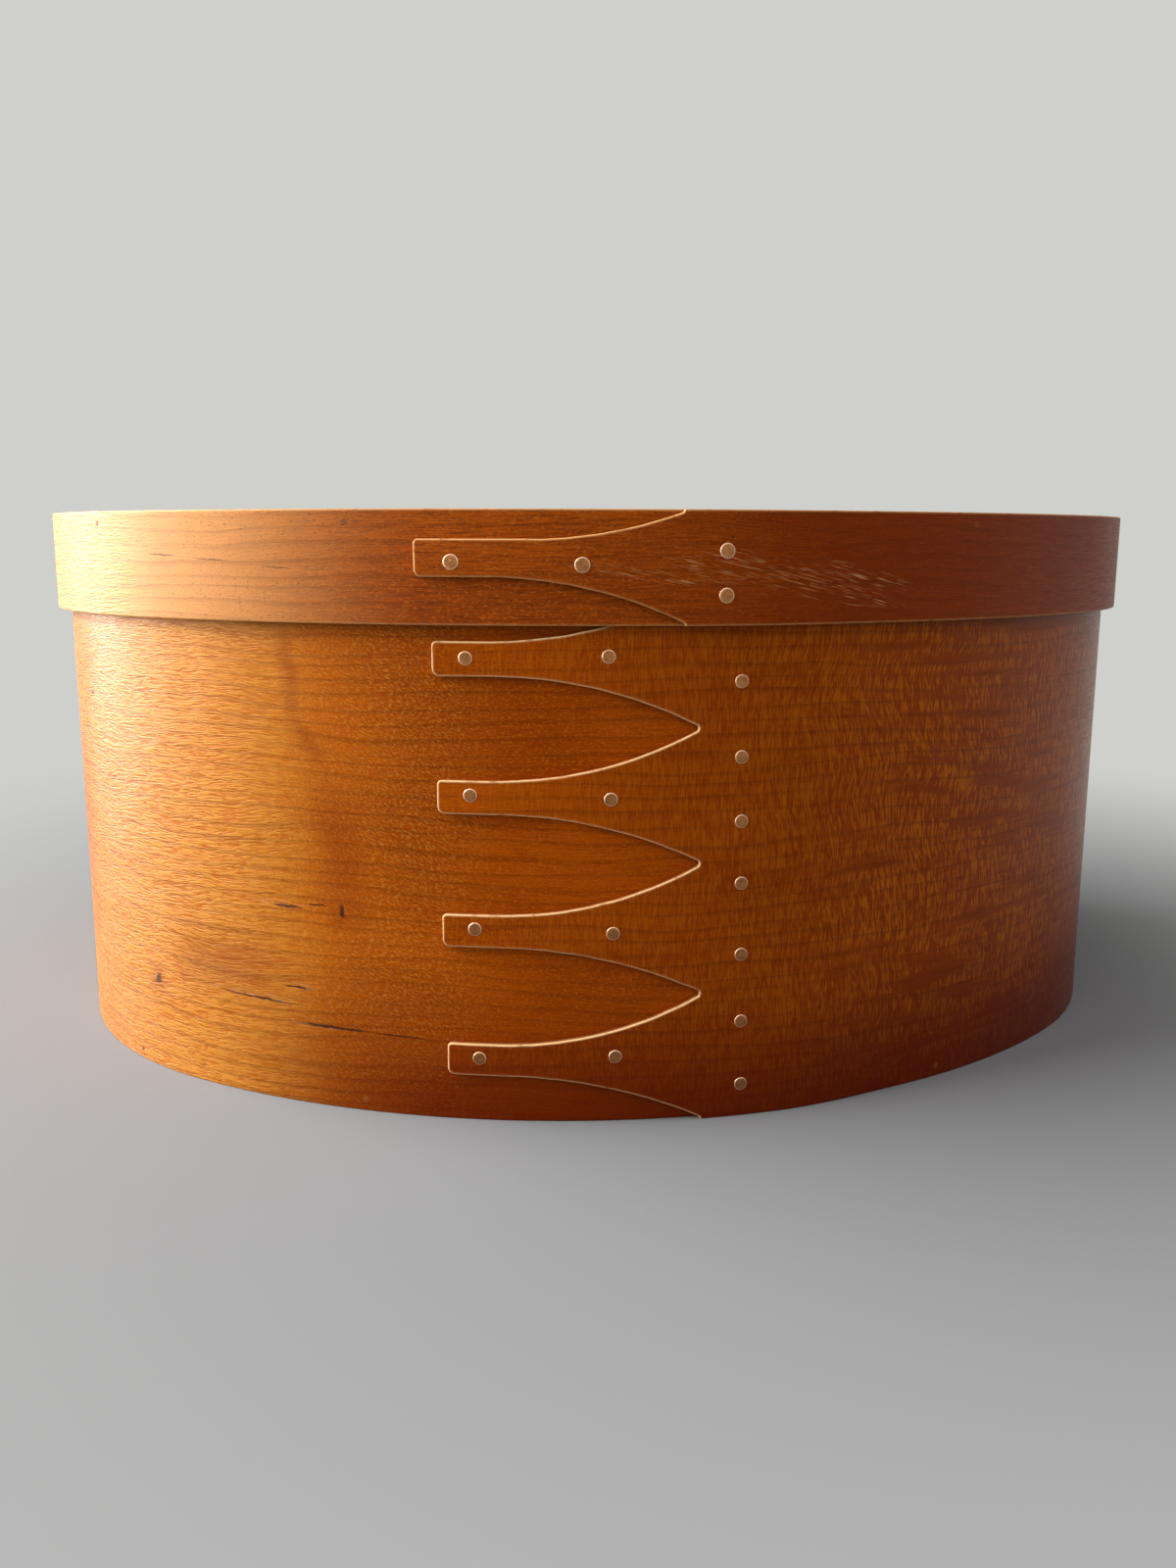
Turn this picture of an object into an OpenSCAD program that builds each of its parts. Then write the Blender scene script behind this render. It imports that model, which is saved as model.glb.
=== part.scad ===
// Oval box of thin bent cherry with a lift-off lid, held with copper tacks.
// Millimetres. +Z is up, +X runs along the oval, and the laps with their fingers face -Y.
// The origin is on the table, under the middle of the oval.

/* [Box body] */
// Outside length of the box body
box_l = 330; // [270:1:400]
// Outside width of the box body over one thickness of band
box_w = 257; // [240:1:320]
// Outside radius of the round ends of the oval
end_r = 109; // [90:1:115]
// Height of the box band
box_h = 147; // [120:1:180]
// Thickness of the box band
band_t = 1.7; // [1.2:0.1:2.2]
// Thickness of the bottom board
bottom_t = 6; // [4:0.1:7.4]

/* [Lid] */
// Depth of the lid from its top to the lower edge of its rim
lid_h = 27; // [22:0.5:33]
// Thickness of the lid band
lid_band_t = 1.5; // [1.2:0.1:2]
// Thickness of the lid board
lid_board_t = 6; // [4:0.1:7.4]

/* [Box fingers] */
// Number of fingers on the box
finger_n = 4; // [3:1:5]
// Width of a box finger at its tip
finger_w = 8.4; // [6:0.1:11]
// Height of plain band left above the even run of fingers
finger_head = 12.2; // [8:0.1:18]
// Where the finger tips end, left of the middle
tip_x = -58.2; // [-66:0.1:-54]
// Where the sides of the fingers start to flare
flare_x = -45; // [-48:0.1:-40]
// Radius of the flare on every finger, box and lid
flare_r = 110; // [90:1:130]
// Radius of the upper corner at every finger tip
tip_upper_r = 1.1; // [0.6:0.1:2]
// Radius of the lower corner at every finger tip
tip_lower_r = 1.8; // [0.6:0.1:2.4]
// Radius at the bottom of every gap between fingers
throat_r = 0.9; // [0.5:0.1:1.5]
// Lean of the lap towards the right at the foot, in degrees
lap_lean = 1.2; // [0:0.1:2]

/* [Lid finger] */
// Width of the lid finger at its tip
lid_finger_w = 8.8; // [6:0.1:10]
// Height of the lid finger above the middle of the rim
lid_finger_rise = 2.2; // [0:0.1:2.5]
// Where the lid finger ends, left of the middle
lid_tip_x = -63.1; // [-70:0.1:-60]
// Where the flares of the lid finger run out at the rim's two edges
lid_throat_x = 1.3; // [0:0.1:4]

/* [Laps] */
// Hairline between the two layers of a lap
lap_gap = 0.05; // [0.03:0.01:0.08]
// Where the box band starts to come down off its own inner end
ramp_x = 27; // [26:0.5:32]
// Where the lid band starts to come down off its own inner end
lid_ramp_x = 16; // [15:0.5:22]
// Length over which a band comes down
ramp_l = 38; // [30:1:46]
// Share of that length that the band bridges before its inner end begins
bridge_share = 0.3; // [0.25:0.05:0.5]

/* [Tacks] */
// Diameter of a tack's head on the box
head_d = 3.5; // [2.8:0.1:4.2]
// Diameter of a tack's head on the lid
lid_head_d = 3.8; // [3:0.1:4.6]
// Thickness of a tack's head
head_t = 0.6; // [0.4:0.1:0.8]
// How far a tack's head stands out of the wood
head_proud = 0.25; // [0.1:0.05:0.3]
// Diameter of a tack's shank
shank_d = 1.3; // [1:0.1:1.6]
// Diameter of the flattened point inside
clinch_d = 2.2; // [1.8:0.1:2.4]
// Thickness of the flattened point
clinch_t = 0.4; // [0.3:0.1:0.5]
// How far the flattened point stands out of the wood
clinch_proud = 0.1; // [0.05:0.05:0.15]
// Where the tacks near the finger tips sit
tip_tack_x = -50; // [-52:0.1:-48]
// Where the tacks at the roots of the fingers sit
root_tack_x = -16.4; // [-22:0.1:-14]
// Where the seam line of tacks sits
seam_x = 15.9; // [12:0.1:18]
// Number of tacks in the seam line
seam_n = 8; // [6:1:9]
// Height of the lowest seam tack above the foot
seam_foot = 8.7; // [8.6:0.1:12]
// Distance of the highest seam tack below the band's top edge
seam_head = 17.2; // [10:0.1:20]
// Where the lid finger's two tacks sit
lid_tack_x = [-54.1, -24.1]; // [-56:0.1:-20]
// Height of the lid finger's tacks from the middle of the finger
lid_tack_z = [-0.9, -1.5]; // [-1.5:0.1:1.5]
// Where the lid's seam tacks sit
lid_seam_x = 9.9; // [6:0.1:12]
// Height of the lid's seam tacks from the middle of the rim
lid_seam_z = [-6.4, 4]; // [-7:0.1:5]

/* [Pegs] */
// Diameter of a peg
peg_d = 1.8; // [1.4:0.1:2.2]
// Length of a peg
peg_l = 14; // [10:1:20]
// Number of pegs in each board
peg_n = 12; // [8:1:16]
// Turn from the middle of the front to the nearest peg, in degrees
peg_clear = 23; // [22:1:28]

/* [Fits] */
// Room between the lid's rim and the lap of the box
lid_fit = 0.45; // [0.4:0.05:0.7]
// Room between a board and its band
board_fit = 0.05; // [0.03:0.01:0.1]
// Room round a tack or a peg in the wood
hole_fit = 0.03; // [0.02:0.01:0.05]

/* [Hidden] */
// How far each hand-set tack strays from its even height, lowest first.
seam_stray = [0, -0.3, 0.1, 1.3, -0.2, -1.4, -0.1, 0];
tip_stray = [0.5, 0.6, 0.6, 0.2];
root_stray = [1.2, -0.3, -0.2, 0.7];

// The oval is four arcs that meet on common normals: two round ends and two long sides.
half_l = box_l / 2;
half_w = box_w / 2;
end_c = half_l - end_r;
side_r = (end_c * end_c + half_w * half_w - end_r * end_r) / (2 * (half_w - end_r));
side_c = side_r - half_w;
end_turn = atan2(side_c, end_c);
turn_step = 1.5;
flare_steps = 12;
corner_steps = 4;

// A band's place is the offset of its outer face, one layer thick, from the box's outer face.
box_skin = 0;
lid_skin = band_t + lid_fit + lid_band_t;
lid_z = box_h + lid_board_t - lid_h;

finger_pitch = (box_h - finger_head) / finger_n;
gap_half = (finger_pitch - finger_w) / 2;
top_gap_half = box_h - (finger_n - 0.5) * finger_pitch - finger_w / 2;
seam_pitch = (box_h - seam_foot - seam_head) / (seam_n - 1);
lid_finger_z = lid_h / 2 + lid_finger_rise;

// Cutters reach this far past what they cut.
over = 1;
// Spare band beyond the finger tips, cut away with the gaps.
spare = 4;
// How far back from the front of the oval a finger cutter reaches.
front_reach = 40;
$fn = 96;

wood = "#b0672c";
wood_dark = "#8f4b20";
board_wood = "#bd7a3e";
peg_wood = "#7d4420";
copper = "#b5714f";

// Point of the oval, moved out by off, where the wall faces the direction a.
function oval_point(a, off) =
    let (w = a - 360 * floor(a / 360))
    let (end = w <= end_turn || w >= 360 - end_turn || abs(w - 180) <= end_turn)
    let (c = end ? [w > 90 && w < 270 ? -end_c : end_c, 0] : [0, w < 180 ? -side_c : side_c])
    let (r = (end ? end_r : side_r) + off)
    [c[0] + r * cos(w), c[1] + r * sin(w)];

// Turn from the middle of the front to the place x on a wall that is off outside the box's face.
function turn_at(x, off) = asin(x / (side_r + off));

// Sideways shift of the lap at the height z, from its lean.
function lean_at(z) = tan(lap_lean) * (box_h / 2 - z);

// Length from the start of a flare to where it has moved over by rise.
function flare_run(rise) = sqrt(2 * flare_r * rise - rise * rise);

// Points of an arc about c, from one angle to another.
function arc(c, r, from, to, steps) = [for (i = [0:steps])
    let (a = from + (to - from) * i / steps)
    [c[0] + r * cos(a), c[1] + r * sin(a)]];

// Right edge of a gap beside a finger, from its foot up: two flares that meet in a small round throat.
function gap_edge(start_x, z, half) =
    let (throat_x = start_x + sqrt(pow(flare_r - throat_r, 2) - pow(flare_r - half, 2)))
    let (meet = atan2(flare_r - half, throat_x - start_x))
    concat(
        arc([start_x, z - half + flare_r], flare_r, -90, -meet, flare_steps),
        arc([throat_x, z], throat_r, -meet, meet, corner_steps),
        arc([start_x, z + half - flare_r], flare_r, meet, 90, flare_steps)
    );

// End of a finger, from its foot up, with its two rounded corners.
function tip_edge(x, z, w) = concat(
    arc([x + tip_lower_r, z - w / 2 + tip_lower_r], tip_lower_r, 270, 180, corner_steps),
    arc([x + tip_upper_r, z + w / 2 - tip_upper_r], tip_upper_r, 180, 90, corner_steps)
);

// Smooth step from 0 to 1.
function ease(x) = let (c = min(1, max(0, x))) c * c * (3 - 2 * c);

// How far the outer layer of a lap stands off the core at the turn a, right of the middle.
function lift(a, thick, ramp_a, end_a) = (thick + lap_gap) * ease((end_a - a) / (end_a - ramp_a));

// Plan of a band: it starts with its feathered inner end, right of the middle of the front,
// goes once round by way of the left end, rises over its own start and ends left of the middle.
module band_plan(skin, thick, first_x, last_x) {
    ramp_a = turn_at(first_x, skin);
    end_a = turn_at(first_x + ramp_l, skin);
    inner_end = end_a - bridge_share * (end_a - ramp_a);
    travel = inner_end + 360 - turn_at(last_x, skin + thick);
    steps = ceil(travel / turn_step);
    turns = [for (i = [0:steps]) inner_end - travel * i / steps];
    outer = [for (t = turns)
        let (layer = t > ramp_a ? lift(t, thick, ramp_a, end_a) - lap_gap : thick)
        let (rise = t < end_a - 360 ? lift(t + 360, thick, ramp_a, end_a) : 0)
        oval_point(270 + t, skin - thick + rise + layer)];
    inner = [for (t = turns)
        let (rise = t < end_a - 360 ? lift(t + 360, thick, ramp_a, end_a) : 0)
        oval_point(270 + t, skin - thick + rise)];
    polygon(concat(outer, [for (i = [steps:-1:0]) inner[i]]));
}

// Keeps a pattern drawn in x and z to what lies in front of the inner layer of a lap.
module through_outer_layer(skin, thick, z, h) {
    difference() {
        translate([0, front_reach - half_w - skin, z])
            rotate([90, 0, 0])
                linear_extrude(front_reach + 2 * thick + over)
                    children();
        translate([0, side_c, z - h])
            cylinder(r = side_r + skin + lap_gap / 2, h = 3 * h);
    }
}

// Puts a child, whose own +Z points out of the wood, on the front wall.
module on_front(x, z, off) {
    translate([0, side_c, z])
        rotate([0, 0, turn_at(x, off)])
            rotate([90, 0, 0])
                translate([0, 0, side_r + off])
                    children();
}

// Puts a child, whose own +Z points out of the wood, on the wall that faces the direction a.
module on_wall(a, z, off) {
    translate(concat(oval_point(a, off), [z]))
        rotate([0, 0, a])
            rotate([0, 90, 0])
                children();
}

// Flat-headed copper tack through both layers, with its point flattened inside.
module tack(d, grip) {
    edge = head_t / 4;
    color(copper) {
        rotate_extrude()
            polygon([
                [0, head_proud - head_t], [d / 2 - edge, head_proud - head_t],
                [d / 2, head_proud - head_t + edge], [d / 2, head_proud - edge],
                [d / 2 - edge, head_proud], [0, head_proud]
            ]);
        translate([0, 0, -grip - clinch_proud])
            cylinder(d = shank_d, h = grip);
        translate([0, 0, -grip - clinch_proud])
            cylinder(d = clinch_d, h = clinch_t);
    }
}

// Hole for a tack, with a seat pressed by the head and another by the point.
module tack_hole(d, grip) {
    head_seat = head_t - head_proud + hole_fit;
    clinch_seat = clinch_t - clinch_proud + hole_fit;
    translate([0, 0, -grip - over])
        cylinder(d = shank_d + 2 * hole_fit, h = grip + 2 * over);
    translate([0, 0, -head_seat])
        cylinder(d = d + 2 * hole_fit, h = head_seat + over);
    translate([0, 0, -grip - over])
        cylinder(d = clinch_d + 2 * hole_fit, h = clinch_seat + over);
}

// Turn of each peg from the middle of the front, from one side of the lap round to the other.
function peg_turns() = [for (i = [0:peg_n - 1]) peg_clear + (360 - 2 * peg_clear) * i / (peg_n - 1)];

module pegs(z, skin) {
    for (t = peg_turns())
        on_wall(270 + t, z, skin)
            translate([0, 0, -peg_l])
                cylinder(d = peg_d, h = peg_l);
}

module peg_holes(z, skin) {
    for (t = peg_turns())
        on_wall(270 + t, z, skin)
            translate([0, 0, -peg_l - hole_fit])
                cylinder(d = peg_d + 2 * hole_fit, h = peg_l + hole_fit + over);
}

// Where the tacks sit: each place is [x, z].
function finger_places(i) =
    let (z = (i + 0.5) * finger_pitch)
    [
        [tip_tack_x + lean_at(z), z + tip_stray[i % len(tip_stray)]],
        [root_tack_x + lean_at(z), z + root_stray[i % len(root_stray)]]
    ];

function seam_places() = [for (i = [0:seam_n - 1])
    let (z = seam_foot + i * seam_pitch + seam_stray[i % len(seam_stray)])
    [seam_x + lean_at(z), z]];

function lid_finger_places() = [for (i = [0, 1]) [lid_tack_x[i], lid_z + lid_finger_z + lid_tack_z[i]]];

function lid_seam_places() = [for (z = lid_seam_z) [lid_seam_x, lid_z + lid_h / 2 + z]];

box_grip = 2 * band_t + lap_gap;
lid_grip = 2 * lid_band_t + lap_gap;

module box_tacks(places) {
    for (p = places)
        on_front(p[0], p[1], box_skin + lap_gap + band_t)
            tack(head_d, box_grip);
}

module lid_tacks(places) {
    for (p = places)
        on_front(p[0], p[1], lid_skin + lap_gap + lid_band_t)
            tack(lid_head_d, lid_grip);
}

// Everything cut away round the fingers of the box, drawn in x and z.
module box_finger_pattern() {
    left = tip_x - 2 * spare;
    halves = [for (i = [0:finger_n]) i < finger_n ? gap_half : top_gap_half];
    heights = [for (i = [0:finger_n]) i < finger_n ? i * finger_pitch : box_h];
    edge = [for (i = [0:finger_n]) each concat(
        gap_edge(flare_x + lean_at(heights[i]), heights[i], halves[i]),
        let (z = (i + 0.5) * finger_pitch)
        i < finger_n ? tip_edge(tip_x + lean_at(z), z, finger_w) : [])];
    polygon(concat([[left, -gap_half]], edge, [[left, box_h + top_gap_half]]));
}

// Everything cut away round the finger of the lid, with z from the rim's lower edge.
module lid_finger_pattern() {
    left = lid_tip_x - 2 * spare;
    below = lid_finger_z - lid_finger_w / 2;
    above = lid_h - lid_finger_z - lid_finger_w / 2;
    edge = concat(
        gap_edge(lid_throat_x - flare_run(below), 0, below),
        tip_edge(lid_tip_x, lid_finger_z, lid_finger_w),
        gap_edge(lid_throat_x - flare_run(above), lid_h, above)
    );
    polygon(concat([[left, -below]], edge, [[left, lid_h + above]]));
}

module box_band() {
    color(wood)
        difference() {
            linear_extrude(box_h)
                band_plan(box_skin, band_t, ramp_x, tip_x - spare);
            through_outer_layer(box_skin, band_t, 0, box_h)
                box_finger_pattern();
            for (p = concat(seam_places(), [for (i = [0:finger_n - 1]) each finger_places(i)]))
                on_front(p[0], p[1], box_skin + lap_gap + band_t)
                    tack_hole(head_d, box_grip);
            peg_holes(bottom_t / 2, box_skin);
        }
}

module lid_band() {
    color(wood_dark)
        difference() {
            translate([0, 0, lid_z])
                linear_extrude(lid_h)
                    band_plan(lid_skin, lid_band_t, lid_ramp_x, lid_tip_x - spare);
            through_outer_layer(lid_skin, lid_band_t, lid_z, lid_h)
                lid_finger_pattern();
            for (p = concat(lid_seam_places(), lid_finger_places()))
                on_front(p[0], p[1], lid_skin + lap_gap + lid_band_t)
                    tack_hole(lid_head_d, lid_grip);
            peg_holes(lid_z + lid_h - lid_board_t / 2, lid_skin);
        }
}

// Oval board whose edge is off outside the box's face.
module board(off, t) {
    linear_extrude(t)
        polygon([for (a = [0:turn_step:360 - turn_step]) oval_point(a, off)]);
}

module bottom_board() {
    color(board_wood)
        difference() {
            board(box_skin - band_t - board_fit, bottom_t);
            peg_holes(bottom_t / 2, box_skin);
        }
}

module lid_board() {
    color(board_wood)
        difference() {
            translate([0, 0, lid_z + lid_h - lid_board_t])
                board(lid_skin - lid_band_t - board_fit, lid_board_t);
            peg_holes(lid_z + lid_h - lid_board_t / 2, lid_skin);
        }
}

module finger_tacks(i) {
    box_tacks(finger_places(i));
}

module seam_tacks() {
    box_tacks(seam_places());
}

module bottom_pegs() {
    color(peg_wood)
        pegs(bottom_t / 2, box_skin);
}

module lid_finger_tacks() {
    lid_tacks(lid_finger_places());
}

module lid_seam_tacks() {
    lid_tacks(lid_seam_places());
}

module lid_pegs() {
    color(peg_wood)
        pegs(lid_z + lid_h - lid_board_t / 2, lid_skin);
}

box_band();
bottom_board();
finger_tacks(0);  // finger_1_tacks
finger_tacks(1);  // finger_2_tacks
finger_tacks(2);  // finger_3_tacks
finger_tacks(3);  // finger_4_tacks
seam_tacks();
bottom_pegs();
lid_band();
lid_board();
lid_finger_tacks();
lid_seam_tacks();
lid_pegs();
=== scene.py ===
"""Looks of an oval bentwood box with a lift-off lid.

Each wall is one thin strip of oiled cherry. It is drawn flat, with its fingers, bores and rounded edges,
and then bent once round the oval and over its own start. Copper tacks hold the laps, and cherry pegs hold
the two boards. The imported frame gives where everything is; a size that it can't give is a named value here,
in millimetres times MM.
"""

import logging
import math
from dataclasses import dataclass, field, replace
from enum import Enum

import bmesh
import bpy
from mathutils import Matrix, Vector, kdtree, noise
from mathutils.geometry import delaunay_2d_cdt


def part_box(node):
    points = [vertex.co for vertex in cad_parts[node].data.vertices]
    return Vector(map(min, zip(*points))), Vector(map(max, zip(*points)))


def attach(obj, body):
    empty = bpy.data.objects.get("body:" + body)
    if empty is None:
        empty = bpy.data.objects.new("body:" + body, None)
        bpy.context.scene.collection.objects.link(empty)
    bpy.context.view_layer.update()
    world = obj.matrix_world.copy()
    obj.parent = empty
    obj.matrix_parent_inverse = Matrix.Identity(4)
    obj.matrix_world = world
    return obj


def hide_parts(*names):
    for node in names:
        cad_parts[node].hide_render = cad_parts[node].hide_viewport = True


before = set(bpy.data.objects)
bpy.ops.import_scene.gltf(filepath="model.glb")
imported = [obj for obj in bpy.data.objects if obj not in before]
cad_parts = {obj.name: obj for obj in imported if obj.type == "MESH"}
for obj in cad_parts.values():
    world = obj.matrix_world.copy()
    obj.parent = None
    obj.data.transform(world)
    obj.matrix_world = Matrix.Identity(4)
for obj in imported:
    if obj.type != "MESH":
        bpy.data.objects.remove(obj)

log = logging.getLogger("oval_box")

MM = 0.001

# Corners of the frame's meshes this near are one corner, and middles whose heights round alike are one row.
WELD = 0.001 * MM
ROW_DIGITS = 5
# Without a seed, Blender's vector noise starts from the clock and no two runs are the same.
NOISE_SEED = 1

Point = tuple[float, float]
Triple = tuple[float, float, float]
Rgba = tuple[float, float, float, float]
Node = bpy.types.Node
Tree = bpy.types.NodeTree
# What a link starts from: a socket, or a node for its first output.
Source = Node | bpy.types.NodeSocket
# A hex code, then the masks and numbers whose product says how strongly it shows.
Layer = tuple[str | Source | float, ...]


class Kept(Enum):
    """What an attribute keeps for each point: Blender's name for its type, and for the part to fill."""

    NUMBER = ("FLOAT", "value")
    VECTOR = ("FLOAT_VECTOR", "vector")


def linear(code: str) -> Rgba:
    """Turns an sRGB hex colour to linear.

    Args:
        code: the colour as "#rrggbb".

    Returns:
        Linear red, green, blue and an alpha of 1.
    """
    # The numbers are those of the sRGB standard.
    parts = [int(code[i:i + 2], 16) / 255 for i in (1, 3, 5)]
    return (*(p / 12.92 if p <= 0.04045 else ((p + 0.055) / 1.055) ** 2.4 for p in parts), 1.0)


def add(tree: Tree, kind: str, inputs: dict | None = None, **settings: object) -> Node:
    """Adds a node with its settings and its links.

    Args:
        tree: the node tree that gets the node.
        kind: Blender's name of the node's type.
        inputs: for each input, by name or number, a node or socket to link from, or a value to set.
        settings: properties of the node itself.

    Returns:
        The new node.
    """
    node = tree.nodes.new(kind)
    for name, value in settings.items():
        setattr(node, name, value)
    for key, value in (inputs or {}).items():
        if isinstance(value, Node):
            value = value.outputs[0]
        if isinstance(value, bpy.types.NodeSocket):
            tree.links.new(value, node.inputs[key])
        else:
            node.inputs[key].default_value = value
    return node


def link_object(name: str, mesh: bpy.types.Mesh) -> bpy.types.Object:
    """Puts a mesh into the scene as an object at the origin.

    Args:
        name: the object's name.
        mesh: its mesh, already in place.

    Returns:
        The new object.
    """
    piece = bpy.data.objects.new(name, mesh)
    bpy.context.scene.collection.objects.link(piece)
    return piece


def link_bmesh(name: str, shape: bmesh.types.BMesh) -> bpy.types.Object:
    """Puts a finished bmesh into the scene as an object at the origin.

    Args:
        name: the object's name.
        shape: the bmesh, which is freed.

    Returns:
        The new object.
    """
    mesh = bpy.data.meshes.new(name)
    shape.to_mesh(mesh)
    shape.free()
    return link_object(name, mesh)


def set_attribute(mesh: bpy.types.Mesh, name: str, kept: Kept, values: list[float]) -> None:
    """Gives the points of a mesh an attribute, with the parts of vectors one after another."""
    kind, part = kept.value
    mesh.attributes.new(name, kind, "POINT").data.foreach_set(part, values)


def aimed(at: Vector, way: Vector) -> Matrix:
    """Returns the matrix that puts something at a place, with its z axis along a direction."""
    return Matrix.Translation(at) @ way.to_track_quat("Z", "Y").to_matrix().to_4x4()


def quarter_round(steps: int) -> list[Point]:
    """Lists how far each step of a rounded edge of radius one lies inside its two faces."""
    turns = [math.pi / 2 * i / steps for i in range(steps + 1)]
    return [(1 - math.sin(a), 1 - math.cos(a)) for a in turns]


def evaluated_mesh(piece: bpy.types.Object) -> bpy.types.Mesh:
    """Finds what an object's modifiers make of it.

    Args:
        piece: the object.

    Returns:
        The result, as a plain mesh.
    """
    depsgraph = bpy.context.evaluated_depsgraph_get()
    shown = piece.evaluated_get(depsgraph)
    return bpy.data.meshes.new_from_object(shown, preserve_all_data_layers=True, depsgraph=depsgraph)


def run_tree(name: str, mesh: bpy.types.Mesh, tree: Tree, values: dict) -> bpy.types.Object:
    """Runs a geometry node tree on a mesh and keeps the result as a plain mesh.

    Args:
        name: the name of the piece.
        mesh: the mesh that goes into the tree.
        tree: the tree.
        values: the tree's inputs by name.

    Returns:
        An object without modifiers that holds the result.
    """
    piece = link_object(name, mesh)
    modifier = piece.modifiers.new("shape", "NODES")
    modifier.node_group = tree
    for item in tree.interface.items_tree:
        if item.item_type == "SOCKET" and item.name in values:
            modifier[item.identifier] = values[item.name]
    shaped = evaluated_mesh(piece)
    piece.modifiers.remove(modifier)
    piece.data = shaped
    return piece


def solid_centres(node: str) -> list[Vector]:
    """Finds the middle of each separate solid in a node of the frame.

    Args:
        node: the node's name.

    Returns:
        The middle of each solid's own box, from the lowest solid to the highest.
    """
    shell = bmesh.new()
    shell.from_mesh(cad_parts[node].data)
    bmesh.ops.remove_doubles(shell, verts=shell.verts, dist=WELD)
    left = set(shell.verts)
    centres = []
    while left:
        island = {left.pop()}
        front = list(island)
        while front:
            near = {e.other_vert(v) for v in front for e in v.link_edges} - island
            island |= near
            front = list(near)
        left -= island
        low = Vector(min(v.co[i] for v in island) for i in range(3))
        high = Vector(max(v.co[i] for v in island) for i in range(3))
        centres.append((low + high) / 2)
    shell.free()
    return sorted(centres, key=lambda c: (round(c.z, ROW_DIGITS), c.x))


@dataclass(frozen=True)
class Oval:
    """Plan of the box: two round ends and two long sides, four arcs that meet on common normals."""

    half_l: float
    half_w: float
    end_r: float

    @property
    def end_c(self) -> float:
        """Distance of each round end's centre from the middle."""
        return self.half_l - self.end_r

    @property
    def side_r(self) -> float:
        """Radius of the long sides."""
        return (self.end_c ** 2 + self.half_w ** 2 - self.end_r ** 2) / (2 * (self.half_w - self.end_r))

    @property
    def side_c(self) -> float:
        """Distance of each long side's centre beyond the middle."""
        return self.side_r - self.half_w

    @property
    def side_turn(self) -> float:
        """Turn from the middle of a long side to its end, in radians."""
        return math.atan2(self.end_c, self.side_c)

    @property
    def side_len(self) -> float:
        """Length of a whole long side."""
        return 2 * self.side_turn * self.side_r

    @property
    def perimeter(self) -> float:
        """Length once round."""
        return 2 * self.side_len + 2 * (math.pi - 2 * self.side_turn) * self.end_r

    def grown(self, off: float) -> "Oval":
        """Returns the oval that runs at a distance outside this one."""
        return Oval(self.half_l + off, self.half_w + off, self.end_r + off)

    def along(self, x: float, y: float) -> float:
        """Measures from the middle of the front, round to the right, to beside a point near the wall.

        Args:
            x: the point's place along the oval.
            y: the point's place across it.

        Returns:
            The length, negative on the left.
        """
        turn = math.atan2(abs(x), self.side_c + abs(y))
        length = turn * self.side_r
        if turn > self.side_turn:
            end = math.atan2(abs(x) - self.end_c, abs(y)) - self.side_turn
            length = self.side_len / 2 + end * self.end_r
        return math.copysign(length if y <= 0 else self.perimeter / 2 - length, x)

    def hub(self, x: float, y: float) -> tuple[Vector, float]:
        """Finds the arc that a point lies beside.

        Args:
            x: the point's place along the oval.
            y: the point's place across it.

        Returns:
            The arc's centre and its radius.
        """
        if math.atan2(abs(x), self.side_c + abs(y)) <= self.side_turn:
            return Vector((0, -math.copysign(self.side_c, y), 0)), self.side_r
        return Vector((math.copysign(self.end_c, x), 0, 0)), self.end_r

    def outward(self, x: float, y: float) -> Vector:
        """Returns the direction in which the wall beside a point faces."""
        centre, _ = self.hub(x, y)
        return (Vector((x, y, 0)) - centre).normalized()

    def beside(self, spot: Vector, off: float) -> Vector:
        """Returns the place at a distance outside the wall that is level with a spot and nearest to it."""
        centre, radius = self.hub(spot.x, spot.y)
        return centre + (radius + off) * self.outward(spot.x, spot.y) + Vector((0, 0, spot.z))

    def ring(self, steps: int) -> list[Point]:
        """Lists points round the oval.

        Args:
            steps: how many points, at even turns of the wall.

        Returns:
            The points, anticlockwise seen from above.
        """
        points = []
        for i in range(steps):
            a = math.tau * i / steps
            facing = Vector((math.cos(a), math.sin(a)))
            if math.atan2(abs(facing.x), abs(facing.y)) <= self.side_turn:
                centre, radius = Vector((0, -math.copysign(self.side_c, facing.y))), self.side_r
            else:
                centre, radius = Vector((math.copysign(self.end_c, facing.x), 0)), self.end_r
            points.append(tuple(centre + radius * facing))
        return points


def arc(centre: Point, radius: float, start: float, end: float, steps: int) -> list[Point]:
    """Lists points of an arc.

    Args:
        centre: the arc's centre.
        radius: its radius.
        start: the angle of its first point, in degrees.
        end: the angle of its last point, in degrees.
        steps: how many stretches it has.

    Returns:
        The points, both ends included.
    """
    angles = [math.radians(start + (end - start) * i / steps) for i in range(steps + 1)]
    return [(centre[0] + radius * math.cos(a), centre[1] + radius * math.sin(a)) for a in angles]


def with_spacing(points: list[Point], most: float) -> list[Point]:
    """Adds points to a line so that no stretch is longer than a given length.

    Args:
        points: the corners of the line.
        most: the longest stretch allowed.

    Returns:
        The line's points, without its last one.
    """
    filled = []
    for (x0, y0), (x1, y1) in zip(points, points[1:]):
        parts = max(1, math.ceil(math.hypot(x1 - x0, y1 - y0) / most))
        filled += [(x0 + (x1 - x0) * i / parts, y0 + (y1 - y0) * i / parts) for i in range(parts)]
    return filled


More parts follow.
